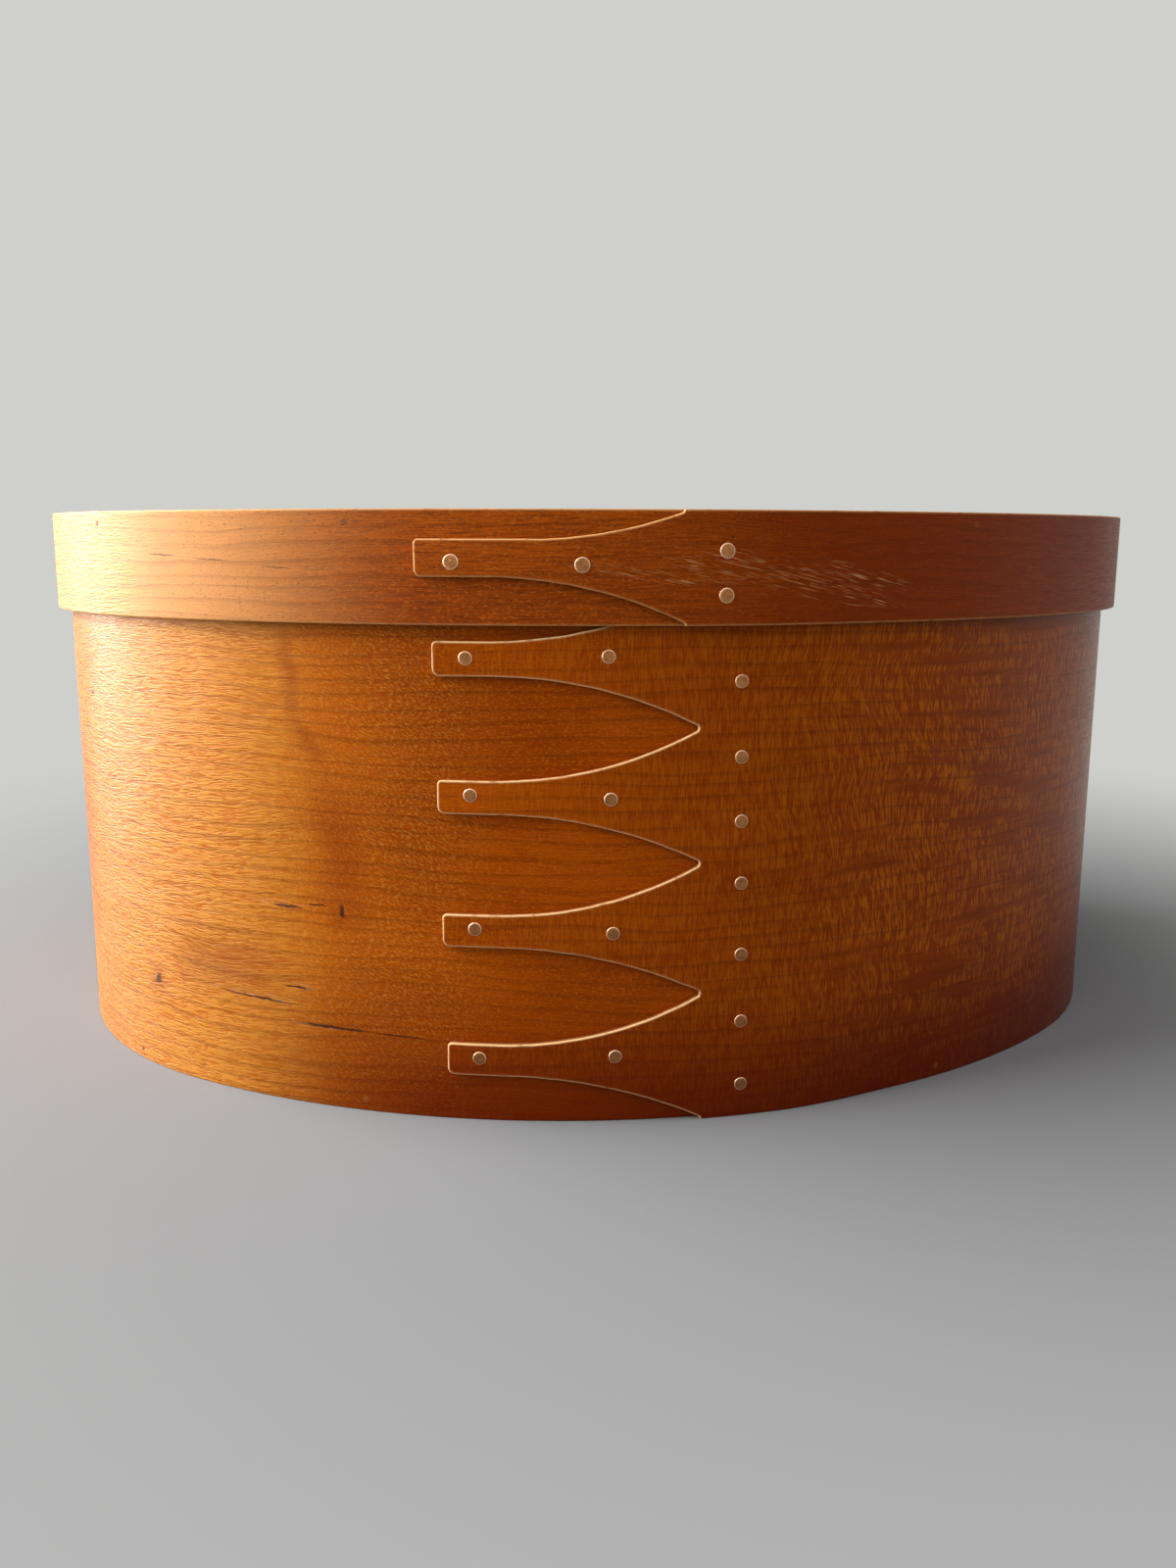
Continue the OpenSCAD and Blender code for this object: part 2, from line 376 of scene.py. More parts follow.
@dataclass(frozen=True)
class FingerCut:
    """The swallowtail fingers at the outer end of a strip, drawn in x and z as the front shows them."""

    flare_r: float = 110 * MM
    throat_r: float = 0.9 * MM
    upper_r: float = 1.1 * MM
    lower_r: float = 1.8 * MM
    flare_steps: int = 40
    corner_steps: int = 8

    def flare_run(self, rise: float) -> float:
        """Length from the start of a flare to where it has moved over by rise."""
        return math.sqrt(2 * self.flare_r * rise - rise * rise)

    def gap(self, start_x: float, z: float, half: float) -> list[Point]:
        """Draws the gap beside a finger: two flares that meet in a small round throat.

        Args:
            start_x: where the flares start.
            z: the height of the gap's middle.
            half: half the gap's width where the flares start.

        Returns:
            The gap's edge, from its foot up.
        """
        reach = math.sqrt((self.flare_r - self.throat_r) ** 2 - (self.flare_r - half) ** 2)
        meet = math.degrees(math.atan2(self.flare_r - half, reach))
        return [
            *arc((start_x, z - half + self.flare_r), self.flare_r, -90, -meet, self.flare_steps),
            *arc((start_x + reach, z), self.throat_r, -meet, meet, 2 * self.corner_steps)[1:-1],
            *arc((start_x, z + half - self.flare_r), self.flare_r, meet, 90, self.flare_steps),
        ]

    def tip(self, x: float, z: float, width: float) -> list[Point]:
        """Draws the end of a finger with its two rounded corners.

        Args:
            x: where the finger ends.
            z: the height of its middle.
            width: its width.

        Returns:
            The finger's end, from its foot up.
        """
        low = (x + self.lower_r, z - width / 2 + self.lower_r)
        high = (x + self.upper_r, z + width / 2 - self.upper_r)
        return [
            *arc(low, self.lower_r, 270, 180, self.corner_steps),
            *arc(high, self.upper_r, 180, 90, self.corner_steps),
        ]


@dataclass(frozen=True)
class BoxFingers(FingerCut):
    """The box's row of fingers, on a lap that leans a little to the right at its foot."""

    height: float = 147 * MM
    count: int = 4
    width: float = 8.4 * MM
    head: float = 12.2 * MM
    tip_x: float = -58.2 * MM
    flare_x: float = -45 * MM
    lean: float = 1.2

    def edge(self) -> list[Point]:
        """Draws the strip's outer end.

        Returns:
            The points of its edge, from the band's foot to its top.
        """
        pitch = (self.height - self.head) / self.count
        top_half = self.height - (self.count - 0.5) * pitch - self.width / 2
        points = []
        for i in range(self.count + 1):
            z = i * pitch if i < self.count else self.height
            half = (pitch - self.width) / 2 if i < self.count else top_half
            points += self.gap(self.flare_x + self.lean_at(z), z, half)
            if i < self.count:
                middle = (i + 0.5) * pitch
                points += self.tip(self.tip_x + self.lean_at(middle), middle, self.width)
        return within(points, self.height)

    def lean_at(self, z: float) -> float:
        """Sideways shift of the lap at a height."""
        return math.tan(math.radians(self.lean)) * (self.height / 2 - z)


@dataclass(frozen=True)
class LidFinger(FingerCut):
    """The lid's single finger, which sits a little above the middle of the rim."""

    height: float = 27 * MM
    width: float = 8.8 * MM
    rise: float = 2.2 * MM
    tip_x: float = -63.1 * MM
    throat_x: float = 1.3 * MM

    def edge(self) -> list[Point]:
        """Draws the strip's outer end.

        Returns:
            The points of its edge, from the rim's lower edge to its top.
        """
        middle = self.height / 2 + self.rise
        below = middle - self.width / 2
        above = self.height - middle - self.width / 2
        points = [
            *self.gap(self.throat_x - self.flare_run(below), 0, below),
            *self.tip(self.tip_x, middle, self.width),
            *self.gap(self.throat_x - self.flare_run(above), self.height, above),
        ]
        return within(points, self.height)


def within(points: list[Point], height: float, slack: float = 1e-9) -> list[Point]:
    """Keeps the points of an edge that lie on a band of this height."""
    return [p for p in points if -slack <= p[1] <= height + slack]


@dataclass(frozen=True)
class Bore:
    """A round hole through the flat strip, given from the outer face to the inner one."""

    at: Point
    # Radius and height above the inner face of each step of the hole's wall.
    profile: tuple[Point, ...]


@dataclass
class FlatStrip:
    """A flat strip of wood as one closed mesh: x along it, -y out of its outer face and z up."""

    thick: float
    outer_arris: float = 0.34 * MM
    inner_arris: float = 0.25 * MM
    arris_steps: int = 3
    apron: float = 0.3 * MM
    # How far down the cut edge, below its arris, it is still rubbed.
    rubbed_down: float = 0.25 * MM
    # How much the start of the outer arris and the rest of the cut edge are rubbed, as shares of the arris.
    start_wear: float = 0.4
    side_wear: float = 0.15
    # How much less pale an edge that faces down is drawn than one that faces up: painted shade on the
    # undersides of the edges.
    underside_shade: float = 0.45
    grid: Point = (2 * MM, 4 * MM)
    # How near a rim the grid's points may come, as a share of its step along the strip.
    rim_room: float = 0.6
    # How near, in millimetres, two points are the same for the triangulation.
    same: float = 1e-5
    bore_sides: int = 32
    verts: list[Triple] = field(default_factory=list)
    faces: list[list[int]] = field(default_factory=list)
    rubbed: list[float] = field(default_factory=list)
    pressed: list[float] = field(default_factory=list)

    def add_ring(self, points: list[Point], depth: float, rubbed: list[float], pressed: float) -> list[int]:
        """Adds a ring of points.

        Args:
            points: its points, along the strip and up.
            depth: its height above the inner face.
            rubbed: how pale each point is drawn, from 0 to 1: rubbed wear, less where an edge faces down, as
                painted shade.
            pressed: how dark the ring is painted, as shade down inside a pit, from 0 to 1.

        Returns:
            The numbers of the new vertices.
        """
        first = len(self.verts)
        self.verts += [(x, -depth, z) for x, z in points]
        self.rubbed += rubbed
        self.pressed += [pressed] * len(points)
        return list(range(first, len(self.verts)))

    def add_wall(self, rings: list[list[int]]) -> None:
        """Joins rings of equal length with a wall of quads.

        Args:
            rings: the rings, from the outer face inwards.
        """
        for upper, lower in zip(rings, rings[1:]):
            count = len(upper)
            self.faces += [[upper[i], lower[i], lower[(i + 1) % count], upper[(i + 1) % count]]
                           for i in range(count)]

    def add_face(self, loops: list[list[int]], inner: bool) -> None:
        """Fills the outer or the inner face between the outline and the bores.

        Args:
            loops: the outline's ring and each bore's ring on that face.
            inner: whether it is the inner face, which looks the other way.
        """
        plane = [(self.verts[i][0] / MM, self.verts[i][2] / MM) for loop in loops for i in loop]
        numbers = [i for loop in loops for i in loop]
        edges, start = [], 0
        for loop in loops:
            edges += [(start + i, start + (i + 1) % len(loop)) for i in range(len(loop))]
            start += len(loop)
        rims = kdtree.KDTree(len(plane))
        for i, (x, z) in enumerate(plane):
            rims.insert((x, z, 0), i)
        rims.balance()
        step_x, step_z = self.grid[0] / MM, self.grid[1] / MM
        low_x, high_x = min(p[0] for p in plane), max(p[0] for p in plane)
        low_z, high_z = min(p[1] for p in plane), max(p[1] for p in plane)
        depth = self.verts[numbers[0]][1]
        for i in range(1, int((high_x - low_x) / step_x)):
            for k in range(1, int((high_z - low_z) / step_z) + 1):
                spot = (low_x + i * step_x, low_z + (k - 0.5) * step_z)
                if spot[1] < high_z and rims.find((*spot, 0))[2] > self.rim_room * step_x:
                    plane.append(spot)
        flat = [Vector(p) for p in plane]
        spots, _, triangles, origins, _, _ = delaunay_2d_cdt(flat, edges, [], 2, self.same)
        place = {}
        for triangle in triangles:
            for i in triangle:
                if i in place:
                    continue
                known = [o for o in origins[i] if o < len(numbers)]
                if known:
                    place[i] = numbers[known[0]]
                else:
                    place[i] = len(self.verts)
                    self.verts.append((spots[i].x * MM, depth, spots[i].y * MM))
                    self.rubbed.append(0.0)
                    self.pressed.append(0.0)
        for triangle in triangles:
            corners = [place[i] for i in triangle]
            self.faces.append(corners[::-1] if inner else corners)

    def build(self, outline: list[Point], wear: list[float], bores: list[Bore]) -> bpy.types.Mesh:
        """Builds the strip's mesh.

        Args:
            outline: its corners and curves, anticlockwise seen from outside.
            wear: how much each of those points is rubbed pale, from 0 to 1.
            bores: its holes.

        Returns:
            The mesh, with the attributes "flat" (its place on the strip), "rubbed" and "pressed", the shade
            painted inside the bores.
        """
        rounded = quarter_round(self.arris_steps)
        outer, inner = self.outer_arris, self.inner_arris
        # Each ring of the edge: how far it is inset, its height above the inner face, and its wear.
        levels = [(outer + self.apron, self.thick, 0.0)]
        levels += [(side * outer, self.thick - drop * outer, 1.0 if i else self.start_wear)
                   for i, (side, drop) in enumerate(rounded)]
        levels.append((0.0, self.thick - outer - self.rubbed_down, self.side_wear))
        levels += [(side * inner, drop * inner, self.side_wear) for side, drop in reversed(rounded)]
        levels.append((inner + self.apron, 0.0, 0.0))
        normals = inward_normals(outline)
        # An edge's pale wear is lessened where it faces down, as painted shade.
        wear = [w * (1 - self.underside_shade * min(1.0, max(0.0, n[1]))) for w, n in zip(wear, normals)]
        rings = []
        for inset, depth, share in levels:
            moved = [(x + n[0] * inset, z + n[1] * inset) for (x, z), n in zip(outline, normals)]
            rings.append(self.add_ring(moved, depth, [share * w for w in wear], 0.0))
        self.add_wall(rings)
        outer_loops, inner_loops = [rings[0]], [rings[-1]]
        for bore in bores:
            # Every ring of a bore below its rim is painted dark, as shade inside the pit.
            holes = [self.add_ring(arc(bore.at, radius, 0, -360, self.bore_sides)[:-1], depth,
                                   [0.0] * self.bore_sides, 1.0 if i else 0.0)
                     for i, (radius, depth) in enumerate(bore.profile)]
            self.add_wall(holes)
            outer_loops.append(holes[0])
            inner_loops.append(holes[-1])
        self.add_face(outer_loops, inner=False)
        self.add_face(inner_loops, inner=True)
        mesh = bpy.data.meshes.new("flat_strip")
        mesh.from_pydata(self.verts, [], self.faces)
        set_attribute(mesh, "flat", Kept.VECTOR, [c for v in self.verts for c in v])
        set_attribute(mesh, "rubbed", Kept.NUMBER, self.rubbed)
        set_attribute(mesh, "pressed", Kept.NUMBER, self.pressed)
        return mesh


def inward_normals(outline: list[Point], least: float = 0.5) -> list[Point]:
    """Finds how each point of an outline moves as the outline shrinks by one.

    Args:
        outline: the outline's points, anticlockwise.
        least: the least cosine of half a corner's turn, so that no sharp corner runs away.

    Returns:
        One vector a point, longer at a corner so that both sides move by one.
    """
    normals = []
    for i, here in enumerate(outline):
        before = Vector(here) - Vector(outline[i - 1])
        after = Vector(outline[(i + 1) % len(outline)]) - Vector(here)
        sides = [Vector((-d.y, d.x)).normalized() for d in (before, after)]
        middle = (sides[0] + sides[1]).normalized()
        normals.append(tuple(middle / max(least, middle.dot(sides[0]))))
    return normals


def hand_cut(points: list[Point], stray: float, seed: float, wander: float = 4 * MM,
             held: int = 4) -> list[Point]:
    """Lets a line stray a little from its drawing, as a knife does.

    Args:
        points: the line's points.
        stray: how far it strays at most.
        seed: what sets this line's wander apart from another's.
        wander: the usual length of a wander.
        held: how many points at each end are held back, less and less.

    Returns:
        The line's points, the first and last where they were.
    """
    noise.seed_set(NOISE_SEED)
    moved = []
    for i, (x, z) in enumerate(points):
        ends = min(1.0, i / held, (len(points) - 1 - i) / held)
        shift = noise.noise_vector(Vector((x, seed, z)) / wander) * stray * ends
        moved.append((x + shift.x, z + shift.z))
    return moved


@dataclass(frozen=True)
class Tack:
    """A small flat-headed copper tack with its point flattened inside."""

    head_d: float
    head_t: float = 0.6 * MM
    head_proud: float = 0.25 * MM
    shank_d: float = 1.3 * MM
    clinch_d: float = 2.2 * MM
    clinch_t: float = 0.4 * MM
    clinch_proud: float = 0.1 * MM
    room: float = 0.06 * MM
    # The head's rounded rim, its low crown, and how much it is worn below its full size.
    rim: float = 0.22 * MM
    crown: float = 0.03 * MM
    rim_gap: float = 0.03 * MM
    # Depth of the dent that the hammer leaves in the wood round the head; how far it reaches and how deep
    # its shallow outer part is, as shares of that depth.
    dent: float = 0.2 * MM
    dent_reach: float = 2.5
    dent_lip: float = 0.25
    # The head's dome: shares of its radius and of its crown. The clinched end: the shares of its thickness
    # where it is widest and where it turns under, and the share of its radius that is flat.
    dome: tuple[Point, ...] = ((0.45, 0.0), (0.75, 0.4))
    clinch_wide: float = 0.6
    clinch_under: float = 0.15
    clinch_flat: float = 0.6
    rim_steps: int = 6
    sides: int = 40

    def head_bore(self, at: Point, thick: float) -> Bore:
        """Draws the hole in the outer layer: a seat that the head presses in, then the shank's hole.

        Args:
            at: the hole's middle on the strip.
            thick: the strip's thickness.

        Returns:
            The hole.
        """
        seat = thick - self.head_t + self.head_proud - self.room
        rim, shank = self.head_d / 2 + self.room, self.shank_d / 2 + self.room
        return Bore(at, (
            (rim + self.dent_reach * self.dent, thick), (rim + self.dent, thick - self.dent_lip * self.dent),
            (rim, thick - self.dent), (rim, seat), (shank, seat), (shank, 0.0),
        ))

    def clinch_bore(self, at: Point, thick: float) -> Bore:
        """Draws the hole in the inner layer: the shank's hole, then a seat that the point presses in.

        Args:
            at: the hole's middle on the strip.
            thick: the strip's thickness.

        Returns:
            The hole.
        """
        seat = self.clinch_t - self.clinch_proud + self.room
        shank, clinch = self.shank_d / 2 + self.room, self.clinch_d / 2 + self.room
        return Bore(at, ((shank, thick), (shank, seat), (clinch, seat), (clinch, 0.0)))

    def template(self, grip: float) -> bpy.types.Object:
        """Turns one tack about z, with the wood's face at z = 0 and its head above.

        Args:
            grip: the thickness of what the tack holds.

        Returns:
            An object that stands for one tack.
        """
        head, shank, clinch = self.head_d / 2 - self.rim_gap, self.shank_d / 2, self.clinch_d / 2
        top, foot = self.head_proud - self.rim_gap, -grip - self.clinch_proud
        neck, rim = self.head_proud - self.head_t, self.rim
        dome = [(share * head, top - drop * self.crown) for share, drop in self.dome]
        bevel = [(head - rim * inset, top - self.crown - rim * drop)
                 for inset, drop in quarter_round(self.rim_steps)]
        profile = [
            *dome, *bevel, (head, neck + rim / 2), (head - rim, neck), (shank, neck - rim / 2),
            (shank, foot + self.clinch_t + rim / 2), (clinch - rim, foot + self.clinch_t),
            (clinch, foot + self.clinch_wide * self.clinch_t),
            (clinch - rim / 2, foot + self.clinch_under * self.clinch_t), (self.clinch_flat * clinch, foot),
        ]
        return turned("tack_template", profile, self.sides)


@dataclass(frozen=True)
class Peg:
    """A slim cherry peg driven through a band into the edge of a board, and sanded flush."""

    diameter: float = 1.8 * MM
    length: float = 14 * MM
    room: float = 0.04 * MM
    # How far its edges are eased, and the shares of its radius that its point tapers to.
    ease: float = 0.08 * MM
    taper: Point = (0.9, 0.8)
    sides: int = 24

    def bore(self, at: Point, thick: float) -> Bore:
        """Hole for the peg, straight through a strip."""
        radius = self.diameter / 2 + self.room
        return Bore(at, ((radius, thick), (radius, 0.0)))

    def template(self) -> bpy.types.Object:
        """Turns one peg about z, with its outer end at z = 0.

        Returns:
            An object that stands for one peg.
        """
        radius, ease = self.diameter / 2, self.ease
        profile = [
            (radius / 2, 0.0), (radius - ease, 0.0), (radius, -ease), (radius, -self.length / 2),
            (self.taper[0] * radius, -self.length + ease), (self.taper[1] * radius, -self.length),
        ]
        return turned("peg_template", profile, self.sides)


def turned(name: str, profile: list[Point], sides: int) -> bpy.types.Object:
    """Turns a profile about z into a closed mesh, as on a lathe.

    Args:
        name: the object's name.
        profile: radius and height of each ring, from the top down.
        sides: how many sides the rings have.

    Returns:
        An object that stands for one such piece, with the attribute "rim", 1 where it is widest.
    """
    shape = bmesh.new()
    rings = [[shape.verts.new((x, y, height)) for x, y in arc((0, 0), radius, 0, 360, sides)[:-1]]
             for radius, height in profile]
    for upper, lower in zip(rings, rings[1:]):
        for i in range(sides):
            after = (i + 1) % sides
            shape.faces.new((upper[i], lower[i], lower[after], upper[after]))
    for ring, height, flip in ((rings[0], profile[0][1], False), (rings[-1], profile[-1][1], True)):
        middle = shape.verts.new((0, 0, height))
        for i in range(sides):
            pair = (ring[i], ring[(i + 1) % sides])
            shape.faces.new((*(pair[::-1] if flip else pair), middle))
    piece = link_bmesh(name, shape)
    widest = max(radius for radius, _ in profile)
    set_attribute(piece.data, "rim", Kept.NUMBER,
                  [math.hypot(v.co.x, v.co.y) / widest for v in piece.data.vertices])
    return piece


class Socket(Enum):
    """The kinds of input that a geometry node tree takes."""

    GEOMETRY = "NodeSocketGeometry"
    LENGTH = "NodeSocketFloat"
    OBJECT = "NodeSocketObject"
    MATERIAL = "NodeSocketMaterial"
    WHOLE = "NodeSocketInt"


def new_shape_tree(name: str, inputs: dict[str, Socket]) -> tuple[Tree, bpy.types.NodeOutputs]:
    """Starts a geometry node tree with named inputs.

    Args:
        name: the tree's name.
        inputs: each input's name and kind, after the geometry.

    Returns:
        The tree and what its inputs give.
    """
    tree = bpy.data.node_groups.new(name, "GeometryNodeTree")
    tree.interface.new_socket("Geometry", in_out="OUTPUT", socket_type=Socket.GEOMETRY.value)
    tree.interface.new_socket("Geometry", in_out="INPUT", socket_type=Socket.GEOMETRY.value)
    for label, kind in inputs.items():
        tree.interface.new_socket(label, in_out="INPUT", socket_type=kind.value)
    return tree, add(tree, "NodeGroupInput").outputs


def end_shape_tree(tree: Tree, shape: Node, material: bpy.types.NodeSocket) -> None:
    """Ends a tree in Realize Instances and Set Material.

    Args:
        tree: the tree.
        shape: the node that gives the finished shape.
        material: what the tree's input gives as the material.
    """
    real = add(tree, "GeometryNodeRealizeInstances", {"Geometry": shape})
    dressed = add(tree, "GeometryNodeSetMaterial", {"Geometry": real, "Material": material})
    add(tree, "NodeGroupOutput", {"Geometry": dressed})


def bending_tree(arc_steps: int = 256) -> Tree:
    """Builds the tree that bends a flat strip once round the oval and over its own start.

    The strip's x is a length along the oval's outer face from the middle of the front, round to the right.
    Its -y is the height above the inner face. The lap's inner end thins out, and the outer layer rises
    over it.

    Args:
        arc_steps: how many stretches stand for each arc of the oval.

    Returns:
        The tree.
    """
    tree, given = new_shape_tree("bend_round_oval", {
        "Side radius": Socket.LENGTH, "Side turn": Socket.LENGTH, "Side centre": Socket.LENGTH,
        "End radius": Socket.LENGTH, "End centre": Socket.LENGTH, "Perimeter": Socket.LENGTH,
        "Thickness": Socket.LENGTH, "Lap gap": Socket.LENGTH, "Ramp start": Socket.LENGTH,
        "Ramp end": Socket.LENGTH, "Material": Socket.MATERIAL,
    })
    guide = add(tree, "GeometryNodeJoinGeometry")
    sweep_side = add(tree, "ShaderNodeMath", {0: given["Side turn"], 1: 2.0}, operation="MULTIPLY")
    sweep_end = add(tree, "ShaderNodeMath", {0: math.pi, 1: sweep_side}, operation="SUBTRACT")
    arcs = []
    for quarter, (long_side, sign) in enumerate(((True, 1), (False, 1), (True, -1), (False, -1))):
        sweep = sweep_side if long_side else sweep_end
        facing = quarter * math.pi / 2 - math.pi / 2
        start = add(tree, "ShaderNodeMath", {0: sweep, 1: -0.5, 2: facing}, operation="MULTIPLY_ADD")
        radius = given["Side radius" if long_side else "End radius"]
        bow = add(tree, "GeometryNodeCurveArc", {
            "Resolution": arc_steps, "Radius": radius, "Start Angle": start, "Sweep Angle": sweep})
        reach = add(tree, "ShaderNodeMath", {
            0: given["Side centre" if long_side else "End centre"], 1: float(sign)}, operation="MULTIPLY")
        centre = add(tree, "ShaderNodeCombineXYZ", {"Y" if long_side else "X": reach})
        arcs.append(add(tree, "GeometryNodeTransform", {"Geometry": bow, "Translation": centre}))
    for placed in reversed(arcs):
        tree.links.new(placed.outputs[0], guide.inputs[0])

    place = add(tree, "ShaderNodeSeparateXYZ", {0: add(tree, "GeometryNodeInputPosition")})
    half_side = add(tree, "ShaderNodeMath", {
        0: given["Side radius"], 1: given["Side turn"]}, operation="MULTIPLY")
    from_corner = add(tree, "ShaderNodeMath", {0: place.outputs["X"], 1: half_side}, operation="ADD")
    length = add(tree, "ShaderNodeMath", {0: from_corner, 1: given["Perimeter"]}, operation="FLOORED_MODULO")
    sample = add(tree, "GeometryNodeSampleCurve", {
        "Curves": guide, "Length": length}, mode="LENGTH", use_all_curves=True)
    outward = add(tree, "ShaderNodeVectorMath", {
        0: sample.outputs["Tangent"], 1: (0, 0, 1)}, operation="CROSS_PRODUCT")

    full = add(tree, "ShaderNodeMath", {0: given["Thickness"], 1: given["Lap gap"]}, operation="ADD")
    again = add(tree, "ShaderNodeMath", {0: place.outputs["X"], 1: given["Perimeter"]}, operation="ADD")
    lifts = [add(tree, "ShaderNodeMapRange", {
        "Value": at, "From Min": given["Ramp start"], "From Max": given["Ramp end"],
        "To Min": full, "To Max": 0.0}, interpolation_type="SMOOTHSTEP")
        for at in (place.outputs["X"], again)]
    layer = add(tree, "ShaderNodeMath", {0: lifts[0], 1: given["Lap gap"]}, operation="SUBTRACT")
    share = add(tree, "ShaderNodeMath", {0: place.outputs["Y"], 1: given["Thickness"]}, operation="DIVIDE")
    above = add(tree, "ShaderNodeMath", {0: share, 1: layer}, operation="MULTIPLY")
    inner = add(tree, "ShaderNodeMath", {0: lifts[1], 1: given["Thickness"]}, operation="SUBTRACT")
    off = add(tree, "ShaderNodeMath", {0: inner, 1: above}, operation="SUBTRACT")
    step_out = add(tree, "ShaderNodeVectorMath", {0: outward, "Scale": off}, operation="SCALE")
    up = add(tree, "ShaderNodeCombineXYZ", {"Z": place.outputs["Z"]})
    on_wall = add(tree, "ShaderNodeVectorMath", {
        0: sample.outputs["Position"], 1: step_out}, operation="ADD")
    there = add(tree, "ShaderNodeVectorMath", {0: on_wall, 1: up}, operation="ADD")
    bent = add(tree, "GeometryNodeSetPosition", {"Geometry": given["Geometry"], "Position": there})
    end_shape_tree(tree, bent, given["Material"])
    return tree


def driving_tree() -> Tree:
    """Builds the tree that sets one piece at each point, facing as the point's attribute "out" says.

    Each piece is spun at random, and dented a little, always inwards, as a hammer leaves it.

    Returns:
        The tree.
    """
    tree, given = new_shape_tree("drive_into_wall", {
        "Piece": Socket.OBJECT, "Dent": Socket.LENGTH, "Dent width": Socket.LENGTH, "Seed": Socket.WHOLE,
        "Material": Socket.MATERIAL,
    })
    out = add(tree, "GeometryNodeInputNamedAttribute", {"Name": "out"}, data_type="FLOAT_VECTOR")
    facing = add(tree, "FunctionNodeAlignRotationToVector", {"Vector": out}, axis="Z")
    spin = add(tree, "FunctionNodeRandomValue", {
        2: 0.0, 3: math.tau, "Seed": given["Seed"]}, data_type="FLOAT")
    about = add(tree, "FunctionNodeAxisAngleToRotation", {"Axis": (0, 0, 1), "Angle": spin.outputs[1]})
    turn = add(tree, "FunctionNodeRotateRotation", {
        "Rotation": facing, "Rotate By": about}, rotation_space="LOCAL")
    piece = add(tree, "GeometryNodeObjectInfo", {"Object": given["Piece"]})
    driven = add(tree, "GeometryNodeInstanceOnPoints", {
        "Points": given["Geometry"], "Instance": piece.outputs["Geometry"], "Rotation": turn})
    real = add(tree, "GeometryNodeRealizeInstances", {"Geometry": driven})

    spread = add(tree, "ShaderNodeMath", {0: 1.0, 1: given["Dent width"]}, operation="DIVIDE")
    blows = add(tree, "ShaderNodeTexNoise", {"Scale": spread, "Detail": 1.0})
    depth = add(tree, "ShaderNodeMath", {0: blows, 1: given["Dent"]}, operation="MULTIPLY")
    inwards = add(tree, "ShaderNodeMath", {0: depth, 1: -1.0}, operation="MULTIPLY")
    shift = add(tree, "ShaderNodeVectorMath", {0: out, "Scale": inwards}, operation="SCALE")
    dented = add(tree, "GeometryNodeSetPosition", {"Geometry": real, "Offset": shift})
    end_shape_tree(tree, dented, given["Material"])
    return tree


@dataclass(frozen=True)
class Mark:
    """A flaw, a stain or a patch of painted shade at one place on a strip: an ellipse with soft edges, in
    millimetres.
    """

    along: float
    up: float
    length: float
    height: float
    tilt: float = 0.0


@dataclass(frozen=True)
class Stretch:
    """A stretch along a strip, in millimetres: where it starts and ends, and half of each soft end."""

    start: float
    end: float
    soft: float


@dataclass(frozen=True)
class Wander:
    """How a place strays, so that what follows it bends: half the pitch and the reach, in millimetres."""

    size: Triple
    by: Triple
    seed: float


@dataclass(frozen=True)
class Pattern:
    """Streaks or clouds of a real size."""

    # Half the usual pitch along each axis, in millimetres.
    size: Triple
    # The noise values where a streak begins and where it is full.
    fade: Point = (0.0, 1.0)
    # What sets it apart from another pattern of its size.
    seed: float = 0.0
    # How much finer structure it holds.
    detail: float = 2.0
    # How far its streaks are bent out of true, and how far they fall to the right, in degrees.
    bend: float = 0.0
    tilt: float = 0.0


